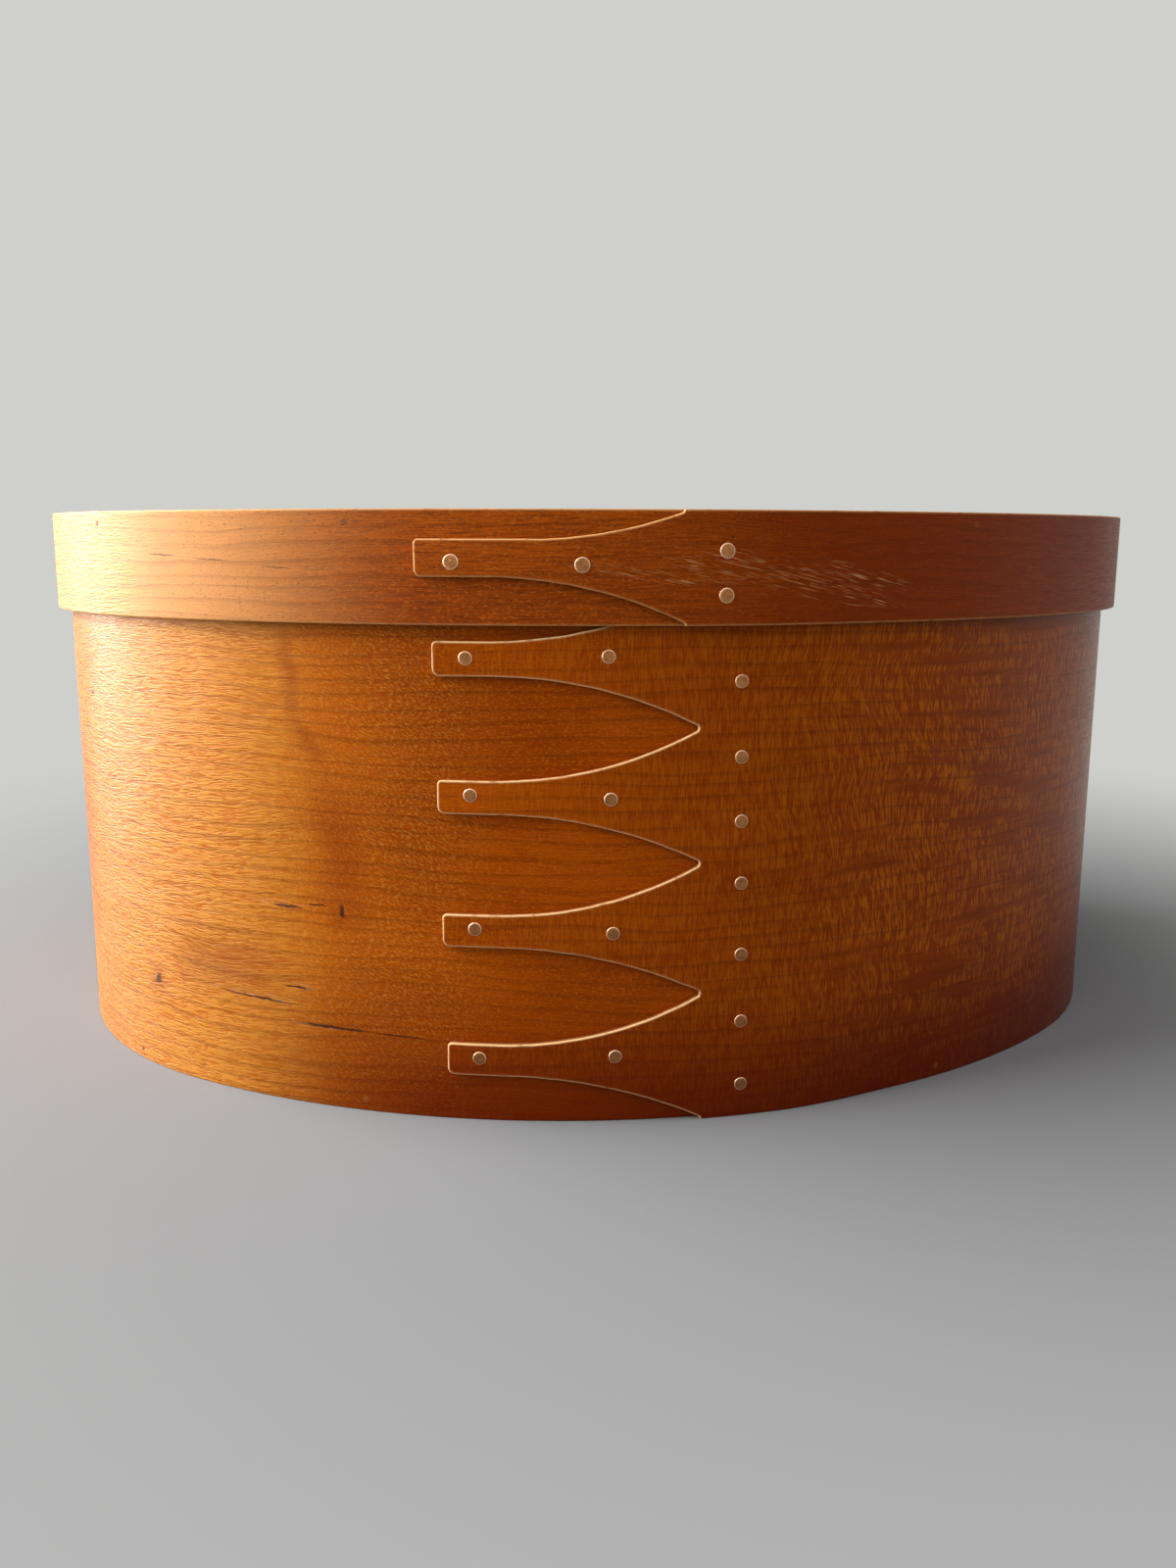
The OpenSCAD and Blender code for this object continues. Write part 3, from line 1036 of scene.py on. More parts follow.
@dataclass(frozen=True)
class Finish:
    """What every finish of the box shares: a name, a gloss, a relief, and how its layers are drawn."""

    name: str = "finish"
    roughness: float = 0.34
    # How far the roughness goes up and down over the pattern.
    roughness_play: float = 0.06
    # Height of the fine relief, in millimetres.
    relief: float = 0.05
    # How far apart two patterns lie in the noise for a seed of one, in millimetres.
    seed_step: float = 37.0

    def start(self) -> tuple[bpy.types.Material, Tree]:
        """Starts the material with an empty tree.

        Returns:
            The material and its tree.
        """
        made = bpy.data.materials.new(self.name)
        made.use_nodes = True
        made.node_tree.nodes.clear()
        return made, made.node_tree

    def noise(self, tree: Tree, place: Source, pattern: Pattern) -> Node:
        """Draws the noise that a pattern or a wander is made from.

        Args:
            tree: the material's tree.
            place: the coordinates that the pattern follows.
            pattern: the pattern, of which the fade isn't used yet.

        Returns:
            The noise.
        """
        scaled = add(tree, "ShaderNodeMapping", {
            "Vector": place, "Location": [pattern.seed * self.seed_step * MM] * 3,
            "Rotation": (0, math.radians(pattern.tilt), 0),
            "Scale": [length * MM for length in pattern.size]}, vector_type="TEXTURE")
        return add(tree, "ShaderNodeTexNoise", {
            "Vector": scaled, "Scale": 1.0, "Detail": pattern.detail, "Distortion": pattern.bend})

    def streaks(self, tree: Tree, place: Source, pattern: Pattern) -> Node:
        """Draws a pattern.

        Args:
            tree: the material's tree.
            place: the coordinates that it follows.
            pattern: the pattern.

        Returns:
            How strongly a streak shows at each point, from 0 to 1.
        """
        begun, full = pattern.fade
        return add(tree, "ShaderNodeMapRange", {
            "Value": self.noise(tree, place, pattern), "From Min": begun, "From Max": full},
            interpolation_type="SMOOTHSTEP")

    def paint(self, tree: Tree, base: str, layers: list[Layer]) -> bpy.types.NodeSocket:
        """Lays layers of colour over a base.

        Args:
            tree: the material's tree.
            base: the colour under all of them, as a hex code.
            layers: the layers, from the bottom up.

        Returns:
            The finished colour.
        """
        colour = linear(base)
        for code, amount, *masks in layers:
            for mask in masks:
                amount = add(tree, "ShaderNodeMath", {0: amount, 1: mask}, operation="MULTIPLY")
            mixed = add(tree, "ShaderNodeMix", {0: amount, 6: colour, 7: linear(code)}, data_type="RGBA")
            colour = mixed.outputs[2]
        return colour

    def close(self, tree: Tree, colour: Source, gloss: Source, height: Source, constants: dict) -> None:
        """Ends the material in a shader with a fine relief.

        Args:
            tree: the material's tree.
            colour: its colour.
            gloss: the pattern that the roughness follows, from 0 to 1.
            height: the pattern that the relief follows.
            constants: the shader's settings that are the same all over.
        """
        rough = add(tree, "ShaderNodeMapRange", {
            "Value": gloss, "To Min": self.roughness - self.roughness_play,
            "To Max": self.roughness + self.roughness_play})
        bump = add(tree, "ShaderNodeBump", {"Distance": self.relief * MM, "Height": height})
        shader = add(tree, "ShaderNodeBsdfPrincipled", {
            **constants, "Base Color": colour, "Roughness": rough, "Normal": bump})
        add(tree, "ShaderNodeOutputMaterial", {"Surface": shader})


@dataclass(frozen=True)
class OiledWood(Finish):
    """Oiled black cherry: a warm, low sheen over honey to red-brown wood with dark growth lines."""

    heart: str = "#ac4b02"
    deep: str = "#7c2a00"
    line: str = "#521a00"
    # A real oil film has an IOR near 1.45; the fibres under it warm and weaken what it reflects.
    ior: float = 1.45
    specular: float = 0.3
    sheen_tint: str = "#ffb868"
    # The fractions of the year where the wood begins to darken and where it is darkest.
    late_wood: Point = (0.55, 0.93)
    # How strongly each dark layer shows, from 0 to 1.
    cloud_dark: float = 0.6
    line_dark: float = 0.36
    fibre_dark: float = 0.42
    pore_dark: float = 0.3
    clouds: Pattern = Pattern((70.0, 70.0, 38.0), (0.36, 0.7), seed=3.7, detail=3.0)
    fibres: Pattern = Pattern((7.0, 7.0, 0.3), (0.3, 0.75), detail=3.0)
    pores: Pattern = Pattern((1.2, 1.2, 0.17), (0.6, 0.7), seed=1.9, detail=1.0)

    def shine(self) -> dict:
        """Returns the shader's settings for oiled wood."""
        return {"IOR": self.ior, "Specular IOR Level": self.specular,
                "Specular Tint": linear(self.sheen_tint)}

    def growth_lines(self, tree: Tree, years: Source) -> Node:
        """Draws a dark line at the end of each year, which comes on slowly and stops at once.

        Args:
            tree: the material's tree.
            years: the number of years at each point, with fractions.

        Returns:
            How dark the line is at each point, from 0 to 1.
        """
        begun, full = self.late_wood
        season = add(tree, "ShaderNodeMath", {0: years}, operation="FRACT")
        late = add(tree, "ShaderNodeMapRange", {
            "Value": season, "From Min": begun, "From Max": full}, interpolation_type="SMOOTHSTEP")
        stop = add(tree, "ShaderNodeMapRange", {
            "Value": season, "From Min": full, "From Max": 1.0, "To Min": 1.0, "To Max": 0.0})
        return add(tree, "ShaderNodeMath", {0: late, 1: stop}, operation="MULTIPLY")


@dataclass(frozen=True)
class CherryBand(OiledWood):
    """Oiled black cherry, a thin strip with its grain along it, planed and then rubbed down.

    Its patterns follow the strip's own coordinates, the attribute "flat". Thin dark growth lines run 3 to
    4 mm apart. Where the grain is curly, fine ripples lie along it, their golden crests partly a painted
    highlight, and where the saw met the rays, upright flecks stand across it in arcs. Gum lines and pin knots
    are dark, and cut edges are rubbed pale.
    """

    fleck: str = "#b96008"
    honey: str = "#ba660c"
    ripple_glint_and_speck: str = "#e2a23c"
    rubbed: str = "#f5c68c"
    # Dark gum lines and knots, and also the painted shade inside the bores.
    gum_and_pit_shade: str = "#2b120c"
    scuff: str = "#c28c5c"
    # Colour of the shade painted at the strip's foot, darker towards the floor.
    foot_shade: str = "#5a0a00"
    scuff_tilt: float = 13.0
    # How far apart the growth lines are, in millimetres.
    line_gap: float = 3.6
    # How strongly each figure shows, from 0 to 1.
    fleck_share: float = 0.55
    honey_share: float = 0.75
    ripple_glint_share: float = 0.5
    speck_share: float = 0.26
    dark_end_share: float = 0.75
    ray_share: float = 0.75
    hatch_share: float = 0.4
    foot_shade_share: float = 0.82
    shade_share: float = 0.45
    scuff_share: float = 0.8
    mark_share: float = 0.9
    # The share of a scuff's and a mark's size over which it is full.
    scuff_core: float = 0.4
    mark_core: float = 0.45
    # How far the curl's ripples stand up and the pores and fibres lie deep, as shares of the relief.
    curl_rise: float = 1.9
    pore_depth: float = 0.5
    fibre_depth: float = 0.35
    # How the grain bows, how its curl and its rays lie over, and how ragged a mark's edge is.
    bow: Wander = Wander((90.0, 90.0, 40.0), (0.0, 0.0, 4.5), 2.0)
    slant: Wander = Wander((22.0, 22.0, 12.0), (5.0, 0.0, 1.6), 9.2)
    sweep: Wander = Wander((70.0, 70.0, 34.0), (7.0, 0.0, 0.0), 5.3)
    tear: Wander = Wander((1.9, 1.9, 1.1), (0.9, 0.0, 0.4), 0.4)
    flecks: Pattern = Pattern((0.9, 0.9, 0.36), (0.54, 0.66), seed=4.4)
    curl: Pattern = Pattern((3.0, 1.0, 0.42), (0.3, 0.68), seed=7.7, bend=0.5)
    specks: Pattern = Pattern((1.2, 1.0, 0.42), (0.48, 0.66), seed=4.9, tilt=32.0)
    rays: Pattern = Pattern((0.42, 1.0, 3.4), (0.48, 0.6), seed=8.1, detail=1.0)
    ray_patches: Pattern = Pattern((24.0, 24.0, 3.6), (0.32, 0.52), seed=2.9)
    hatch: Pattern = Pattern((0.32, 1.0, 3.4), (0.42, 0.66), seed=3.1, detail=1.5)
    line_wobble: Pattern = Pattern((110.0, 110.0, 6.0), seed=1.3)
    line_breaks: Pattern = Pattern((70.0, 70.0, 2.2), (0.0, 0.7), seed=6.1, detail=1.0)
    scratches: Pattern = Pattern((7.0, 7.0, 0.26), (0.57, 0.67), seed=6.6)
    wear_patches: Pattern = Pattern((2.4, 2.4, 1.6), (0.1, 0.5), seed=2.2, detail=3.0)
    # Where along the strip each figure shows.
    # The honey-coloured end is partly lighter wood and partly a painted highlight on the end that faces the
    # window.
    honeyed: Stretch = Stretch(-340.0, -95.0, 36.0)
    curly: Stretch = Stretch(-420.0, -94.0, 9.0)
    speckled: Stretch = Stretch(-105.0, -50.0, 12.0)
    # The strip's outer end, round the right of the box, is drawn deeper: partly darker wood, partly painted
    # shade on the side away from the window.
    darkened: Stretch = Stretch(-950.0, -700.0, 50.0)
    rayed: Stretch = Stretch(-905.0, -700.0, 50.0)
    hatched: Stretch = Stretch(-990.0, -880.0, 30.0)
    # How far up from the foot shade is painted into the colour, darker towards the floor, in millimetres.
    foot_shade_height: float = 0.0
    marks: tuple[Mark, ...] = ()
    shades: tuple[Mark, ...] = ()
    scuffs: tuple[Mark, ...] = ()

    def between(self, tree: Tree, place: Source, stretch: Stretch) -> Node:
        """Makes a mask that is 1 on a stretch of the strip.

        Args:
            tree: the material's tree.
            place: the place on the strip.
            stretch: the stretch.

        Returns:
            The mask.
        """
        along = add(tree, "ShaderNodeSeparateXYZ", {0: place}).outputs["X"]
        ends = [add(tree, "ShaderNodeMapRange", {
            "Value": along, "From Min": (edge - soft) * MM, "From Max": (edge + soft) * MM},
            interpolation_type="SMOOTHSTEP")
            for edge, soft in ((stretch.start, stretch.soft), (stretch.end, -stretch.soft))]
        return add(tree, "ShaderNodeMath", {0: ends[0], 1: ends[1]}, operation="MULTIPLY")

    def spots(self, tree: Tree, place: Source, marks: tuple[Mark, ...], core: float = 0.0) -> Source | float:
        """Makes a mask of marks.

        Args:
            tree: the material's tree.
            place: the place on the strip.
            marks: the marks, if any.
            core: the share of a mark's size over which it is full.

        Returns:
            The mask, 1 in the middle of each mark and 0 outside it.
        """
        cover = 0.0
        for mark in marks:
            near = add(tree, "ShaderNodeMapping", {
                "Vector": place, "Location": (mark.along * MM, 0, mark.up * MM),
                "Rotation": (0, math.radians(-mark.tilt), 0),
                "Scale": (mark.length * MM / 2, 1.0, mark.height * MM / 2)}, vector_type="TEXTURE")
            away = add(tree, "ShaderNodeVectorMath", {0: near}, operation="LENGTH").outputs["Value"]
            spot = add(tree, "ShaderNodeMapRange", {
                "Value": away, "From Min": 1.0, "From Max": core}, interpolation_type="SMOOTHSTEP")
            cover = add(tree, "ShaderNodeMath", {0: cover, 1: spot}, operation="MAXIMUM")
        return cover

    def strayed(self, tree: Tree, place: Source, wander: Wander) -> Node:
        """Lets a place stray.

        Args:
            tree: the material's tree.
            place: the place on the strip.
            wander: how it strays.

        Returns:
            The place that a pattern follows instead.
        """
        drift = self.noise(tree, place, Pattern(wander.size, seed=wander.seed)).outputs["Color"]
        moved = add(tree, "ShaderNodeVectorMath", {
            0: drift, 1: [2 * b * MM for b in wander.by], 2: [-b * MM for b in wander.by]},
            operation="MULTIPLY_ADD")
        return add(tree, "ShaderNodeVectorMath", {0: place, 1: moved}, operation="ADD")

    def years(self, tree: Tree, flat: Source, grain: Source) -> Node:
        """Counts the years up the strip.

        Args:
            tree: the material's tree.
            flat: the place on the strip.
            grain: the place that the grain follows.

        Returns:
            The number of years at each point, with fractions.
        """
        height = add(tree, "ShaderNodeSeparateXYZ", {0: grain}).outputs["Z"]
        return add(tree, "ShaderNodeMath", {
            0: height, 1: 1 / (self.line_gap * MM), 2: self.streaks(tree, flat, self.line_wobble)},
            operation="MULTIPLY_ADD")

    def foot(self, tree: Tree, flat: Source, honeyed: Source) -> Layer:
        """Paints shade at the strip's foot, darker towards the floor, apart from the honey-coloured end that
        faces the window.

        Args:
            tree: the material's tree.
            flat: the place on the strip.
            honeyed: the mask of the honey-coloured wood.

        Returns:
            The layer.
        """
        up = add(tree, "ShaderNodeSeparateXYZ", {0: flat}).outputs["Z"]
        low = add(tree, "ShaderNodeMapRange", {
            "Value": up, "From Min": self.foot_shade_height * MM, "From Max": 0.0}, interpolation_type="SMOOTHSTEP")
        apart = add(tree, "ShaderNodeMath", {0: 1.0, 1: honeyed}, operation="SUBTRACT")
        return self.foot_shade, low, apart, self.foot_shade_share

    def material(self) -> bpy.types.Material:
        """Makes the material from the strip's attributes "flat", "rubbed" and "pressed", the last a painted
        shade inside the bores.

        Returns:
            The material.
        """
        made, tree = self.start()
        flat = add(tree, "ShaderNodeAttribute", attribute_name="flat").outputs["Vector"]
        pressed, worn = (add(tree, "ShaderNodeAttribute", attribute_name=name).outputs["Fac"]
                         for name in ("pressed", "rubbed"))
        grain = self.strayed(tree, flat, self.bow)
        slanted = self.strayed(tree, grain, self.slant)
        swept, torn = self.strayed(tree, grain, self.sweep), self.strayed(tree, flat, self.tear)
        fibres, pores = (self.streaks(tree, grain, pattern) for pattern in (self.fibres, self.pores))
        honeyed, near_end, speckled = (self.between(tree, slanted, stretch)
                                       for stretch in (self.honeyed, self.curly, self.speckled))
        curly = add(tree, "ShaderNodeMath", {0: near_end, 1: honeyed}, operation="MULTIPLY")
        curl = self.streaks(tree, slanted, self.curl)
        colour = self.paint(tree, self.heart, [
            (self.deep, self.streaks(tree, flat, self.clouds), self.cloud_dark),
            (self.line, fibres, self.fibre_dark),
            (self.fleck, self.streaks(tree, grain, self.flecks), self.fleck_share),
            # Honey colour, partly a painted highlight on the end toward the window.
            (self.honey, honeyed, self.honey_share),
            # Golden crests of the curl's ripples, partly a painted highlight.
            (self.ripple_glint_and_speck, curl, curly, self.ripple_glint_share),
            (self.ripple_glint_and_speck, self.streaks(tree, slanted, self.specks), speckled, self.speck_share),
            # Deeper colour toward the right of the box: darker wood and painted shade.
            (self.deep, self.between(tree, flat, self.darkened), self.dark_end_share),
            (self.fleck, self.streaks(tree, swept, self.rays), self.streaks(tree, grain, self.ray_patches),
             self.between(tree, flat, self.rayed), self.ray_share),
            (self.fleck, self.streaks(tree, flat, self.hatch), self.between(tree, flat, self.hatched),
             self.hatch_share),
            (self.line, self.growth_lines(tree, self.years(tree, flat, grain)),
             self.streaks(tree, grain, self.line_breaks), self.line_dark),
            (self.line, pores, self.pore_dark),
            # Painted shade at the foot of the band.
            *([self.foot(tree, flat, honeyed)] if self.foot_shade_height else []),
            # Painted shade of the curl's darker bars, and darker wood round the knots.
            (self.deep, self.spots(tree, slanted, self.shades), self.shade_share),
            (self.scuff, self.spots(tree, flat, self.scuffs, self.scuff_core),
             self.streaks(tree, flat, replace(self.scratches, tilt=self.scuff_tilt)), self.scuff_share),
            (self.gum_and_pit_shade, self.spots(tree, torn, self.marks, self.mark_core), self.mark_share),
            # Painted shade inside the bores round the tacks and pegs.
            (self.gum_and_pit_shade, pressed),
            # Pale rubbed edges, less pale on their undersides as painted shade.
            (self.rubbed, worn, self.streaks(tree, flat, self.wear_patches)),
        ])
        ripples = add(tree, "ShaderNodeMath", {0: curl, 1: curly}, operation="MULTIPLY")
        height = add(tree, "ShaderNodeMath", {0: ripples, 1: self.curl_rise}, operation="MULTIPLY")
        for cut, depth in ((pores, self.pore_depth), (fibres, self.fibre_depth)):
            height = add(tree, "ShaderNodeMath", {0: cut, 1: -depth, 2: height}, operation="MULTIPLY_ADD")
        self.close(tree, colour, fibres, height, self.shine())
        return made


@dataclass(frozen=True)
class CherryBoard(OiledWood):
    """Oiled black cherry, a flat-sawn board: satin, with the pointed arches of its growth rings along x.

    The rings are cylinders about the tree's pith, which runs below the board and a little out of level, so
    the face shows arches and the edge shows lines.
    """

    name: str = "oiled_cherry_board"
    # Oiled thin and rubbed dry, a flat board has no gloss of its own.
    specular: float = 0.0
    heart: str = "#ab5416"
    deep: str = "#85390b"
    late_wood: Point = (0.3, 0.95)
    fibre_dark: float = 0.3
    pore_dark: float = 0.4
    clouds: Pattern = Pattern((85.0, 38.0, 38.0), (0.35, 0.7), seed=3.7, detail=3.0)
    fibres: Pattern = Pattern((7.0, 0.25, 0.25), (0.4, 0.75), seed=5.5, detail=3.0)
    pores: Pattern = Pattern((1.2, 0.16, 0.16), (0.62, 0.72), seed=1.9, detail=1.0)
    ring_drift: Pattern = Pattern((110.0, 34.0, 34.0))
    # How far apart the rings are and where the pith lies, in millimetres, and how far it is out of level.
    ring_gap: float = 4.5
    pith_below: float = 42.0
    pith_aside: float = 16.0
    pith_tilt: float = 3.2
    # How many rings' widths the drift moves them by.
    ring_wander: float = 1.5

    def material(self) -> bpy.types.Material:
        """Makes the material from the board's own Object coordinates.

        Returns:
            The material.
        """
        made, tree = self.start()
        place = add(tree, "ShaderNodeTexCoord").outputs["Object"]
        log_axes = add(tree, "ShaderNodeMapping", {
            "Vector": place, "Location": (0, self.pith_aside * MM, self.pith_below * MM),
            "Rotation": (0, math.radians(self.pith_tilt), 0)}, vector_type="POINT")
        across = add(tree, "ShaderNodeVectorMath", {0: log_axes, 1: (0, 1, 1)}, operation="MULTIPLY")
        radius = add(tree, "ShaderNodeVectorMath", {0: across}, operation="LENGTH").outputs["Value"]
        drift = self.streaks(tree, place, self.ring_drift)
        wander = add(tree, "ShaderNodeMath", {0: drift, 1: self.ring_wander}, operation="MULTIPLY")
        years = add(tree, "ShaderNodeMath", {
            0: radius, 1: 1 / (self.ring_gap * MM), 2: wander}, operation="MULTIPLY_ADD")
        fibres = self.streaks(tree, place, self.fibres)
        colour = self.paint(tree, self.heart, [
            (self.deep, self.streaks(tree, place, self.clouds), self.cloud_dark),
            (self.line, self.growth_lines(tree, years), self.line_dark),
            (self.line, fibres, self.fibre_dark),
            (self.line, self.streaks(tree, place, self.pores), self.pore_dark),
        ])
        self.close(tree, colour, fibres, fibres, self.shine())
        return made


@dataclass(frozen=True)
class CopperTack(Finish):
    """Copper, hammered flat and sanded with the wood: a dull brown face, scratched one way, a bright rim.

    The face is tarnished; the rim, the attribute "rim", is drawn pale: partly copper rubbed clean and partly
    a painted highlight where the rim catches the light.
    """

    name: str = "hammered_copper"
    roughness: float = 0.4
    roughness_play: float = 0.1
    relief: float = 0.015
    bright: str = "#ffd2b0"
    worn: str = "#a06c42"
    dull: str = "#74482a"
    # How strongly the stains, the scratches and the rim show, from 0 to 1.
    stain_share: float = 0.6
    scratch_share: float = 0.5
    rim_share: float = 0.8
    # The share of the head's radius where the rim starts to be rubbed.
    rim_from: float = 0.8
    scratch_turn: float = 35.0
    scratches: Pattern = Pattern((1.2, 1.2, 0.07), (0.35, 0.65))
    stains: Pattern = Pattern((1.6, 1.6, 1.6), (0.35, 0.7), seed=3.0)

    def material(self) -> bpy.types.Material:
        """Makes the material from the tacks' own Object coordinates.

        Returns:
            The material.
        """
        made, tree = self.start()
        place = add(tree, "ShaderNodeTexCoord").outputs["Object"]
        sanded = add(tree, "ShaderNodeMapping", {
            "Vector": place, "Rotation": (0, math.radians(self.scratch_turn), 0)})
        scratches = self.streaks(tree, sanded, self.scratches)
        rim = add(tree, "ShaderNodeAttribute", attribute_name="rim").outputs["Fac"]
        rubbed = add(tree, "ShaderNodeMapRange", {"Value": rim, "From Min": self.rim_from, "From Max": 1.0})
        colour = self.paint(tree, self.worn, [
            (self.dull, self.streaks(tree, place, self.stains), self.stain_share),
            (self.dull, scratches, self.scratch_share),
            # The pale rim: partly rubbed copper, partly a painted highlight.
            (self.bright, rubbed, self.rim_share),
        ])
        self.close(tree, colour, scratches, scratches, {"Metallic": 1.0})
        return made


@dataclass(frozen=True)
class CherryPeg(OiledWood):
    """End grain of a cherry peg, oiled: darker than the face of the wood, with fine open pores."""

    name: str = "cherry_end_grain"
    roughness: float = 0.5
    relief: float = 0.02
    heart: str = "#8a4517"
    pore: str = "#4a1f0a"
    pores: Pattern = Pattern((0.1, 0.1, 0.1), (0.48, 0.68))

    def material(self) -> bpy.types.Material:
        """Makes the material from the pegs' own Object coordinates.

        Returns:
            The material.
        """
        made, tree = self.start()
        pores = self.streaks(tree, add(tree, "ShaderNodeTexCoord").outputs["Object"], self.pores)
        self.close(tree, self.paint(tree, self.heart, [(self.pore, pores)]), pores, pores, self.shine())
        return made


@dataclass
class Piece:
    """A visible piece: its name, the node that it stands for, the body that it rides on and its slot."""

    name: str
    node: str
    body: str
    slot: str

    def declare(self, piece: bpy.types.Object, sharp: float = 40.0) -> bpy.types.Object:
        """Smooths a finished piece, hangs it on its body and hides the frame's node that it stands for.

        Args:
            piece: the piece, shaped and dressed.
            sharp: the turn in degrees above which an edge isn't smoothed.

        Returns:
            The piece.
        """
        piece.data.shade_smooth()
        piece.data.set_sharp_from_angle(angle=math.radians(sharp))
        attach(piece, self.body)
        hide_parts(self.node)
        return piece


@dataclass
class BentBand(Piece):
    """A wall of the box or the lid: one strip, lapped at the front and closed with tacks."""

    oval: Oval
    thick: float
    fingers: FingerCut
    tack: Tack
    tack_nodes: tuple[str, ...]
    peg: Peg
    peg_node: str
    ramp_x: float
    finish: CherryBand
    # How much the lower and the upper edge are rubbed pale, from 0 to 1; the fingers' edges are at 1.
    foot_wear: float
    top_wear: float
    ramp_l: float = 38 * MM
    # The share of the ramp over which the outer layer bridges, because the inner one has ended.
    bridge_share: float = 0.3
    lap_gap: float = 0.05 * MM
    knife_stray: float = 0.12 * MM
    edge_spacing: float = 1.6 * MM

    def __post_init__(self) -> None:
        """Takes the band's foot and height from the frame."""
        low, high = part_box(self.node)
        self.foot = low.z
        self.height = high.z - low.z

    def length_at(self, x: float, off: float) -> float:
        """Length along the band's outer face to a place x that is drawn off outside that face."""
        return math.asin(x / (self.oval.side_r + off)) * self.oval.side_r

    @property
    def ramp(self) -> Point:
        """Where the outer layer starts and ends its way down off the inner one."""
        return self.length_at(self.ramp_x, 0.0), self.length_at(self.ramp_x + self.ramp_l, 0.0)

    @property
    def inner_end(self) -> float:
        """Where the strip starts, under its own lap."""
        start, end = self.ramp
        return end - self.bridge_share * (end - start)

    def outline(self) -> tuple[list[Point], list[float]]:
        """Draws the flat strip.

        Returns:
            Its points, anticlockwise seen from outside, and how much each is rubbed pale.
        """
        fingers = [(self.length_at(x, self.lap_gap + self.thick) - self.oval.perimeter, self.foot + z)
                   for x, z in hand_cut(self.fingers.edge(), self.knife_stray, self.foot / MM)]
        low, high = self.foot, self.foot + self.height
        lines = (
            ([fingers[0], (self.inner_end, low)], self.foot_wear),
            ([(self.inner_end, low), (self.inner_end, high)], 0.0),
            ([(self.inner_end, high), fingers[-1]], self.top_wear),
            (fingers[::-1], 1.0),
        )
        points, wear = [], []
        for line, share in lines:
            spaced = with_spacing(line, self.edge_spacing)
            points += spaced
            wear += [share] * len(spaced)
        return points, wear

    def bores(self) -> list[Bore]:
        """Places every bore of the strip where the frame has its tack or peg.

        Returns:
            The bores.
        """
        found = []
        for node in self.tack_nodes:
            for centre in solid_centres(node):
                at = self.oval.along(centre.x, centre.y)
                found.append(self.tack.clinch_bore((at, centre.z), self.thick))
                found.append(self.tack.head_bore((at - self.oval.perimeter, centre.z), self.thick))
        for centre in solid_centres(self.peg_node):
            at = self.oval.along(centre.x, centre.y)
            if at > self.inner_end:
                at -= self.oval.perimeter
            found.append(self.peg.bore((at, centre.z), self.thick))
        return found

    def build(self, tree: Tree) -> bpy.types.Object:
        """Draws, bends and dresses the band.

        Args:
            tree: the tree that bends a strip.

        Returns:
            The finished piece.
        """
        outline, wear = self.outline()
        strip = FlatStrip(thick=self.thick).build(outline, wear, self.bores())
        oval = self.oval
        return self.declare(run_tree(self.name, strip, tree, {
            "Side radius": oval.side_r, "Side turn": oval.side_turn, "Side centre": oval.side_c,
            "End radius": oval.end_r, "End centre": oval.end_c, "Perimeter": oval.perimeter,
            "Thickness": self.thick, "Lap gap": self.lap_gap, "Ramp start": self.ramp[0],
            "Ramp end": self.ramp[1], "Material": self.finish.material(),
        }))


@dataclass
class DrivenPieces(Piece):
    """The tacks or pegs of one node of the frame."""

    oval: Oval
    seed: int
    # How far outside the oval's own line the wood's face is where the pieces go in.
    off: float = 0.0
    dent: float = 0.0
    dent_width: float = 0.9 * MM
    sharp: float = 50.0

    def build(self, tree: Tree, template: bpy.types.Object,
              material: bpy.types.Material) -> bpy.types.Object:
        """Sets one piece at each place that the frame gives.

        Args:
            tree: the tree that drives pieces into a wall.
            template: the object that stands for one piece.
            material: the pieces' material.

        Returns:
            The finished piece.
        """
        centres = solid_centres(self.node)
        mesh = bpy.data.meshes.new(self.name)
        mesh.from_pydata([self.oval.beside(centre, self.off) for centre in centres], [], [])
        set_attribute(mesh, "out", Kept.VECTOR, [c for centre in centres
                                              for c in self.oval.outward(centre.x, centre.y)])
        return self.declare(run_tree(self.name, mesh, tree, {
            "Piece": template, "Dent": self.dent, "Dent width": self.dent_width, "Seed": self.seed,
            "Material": material,
        }), self.sharp)


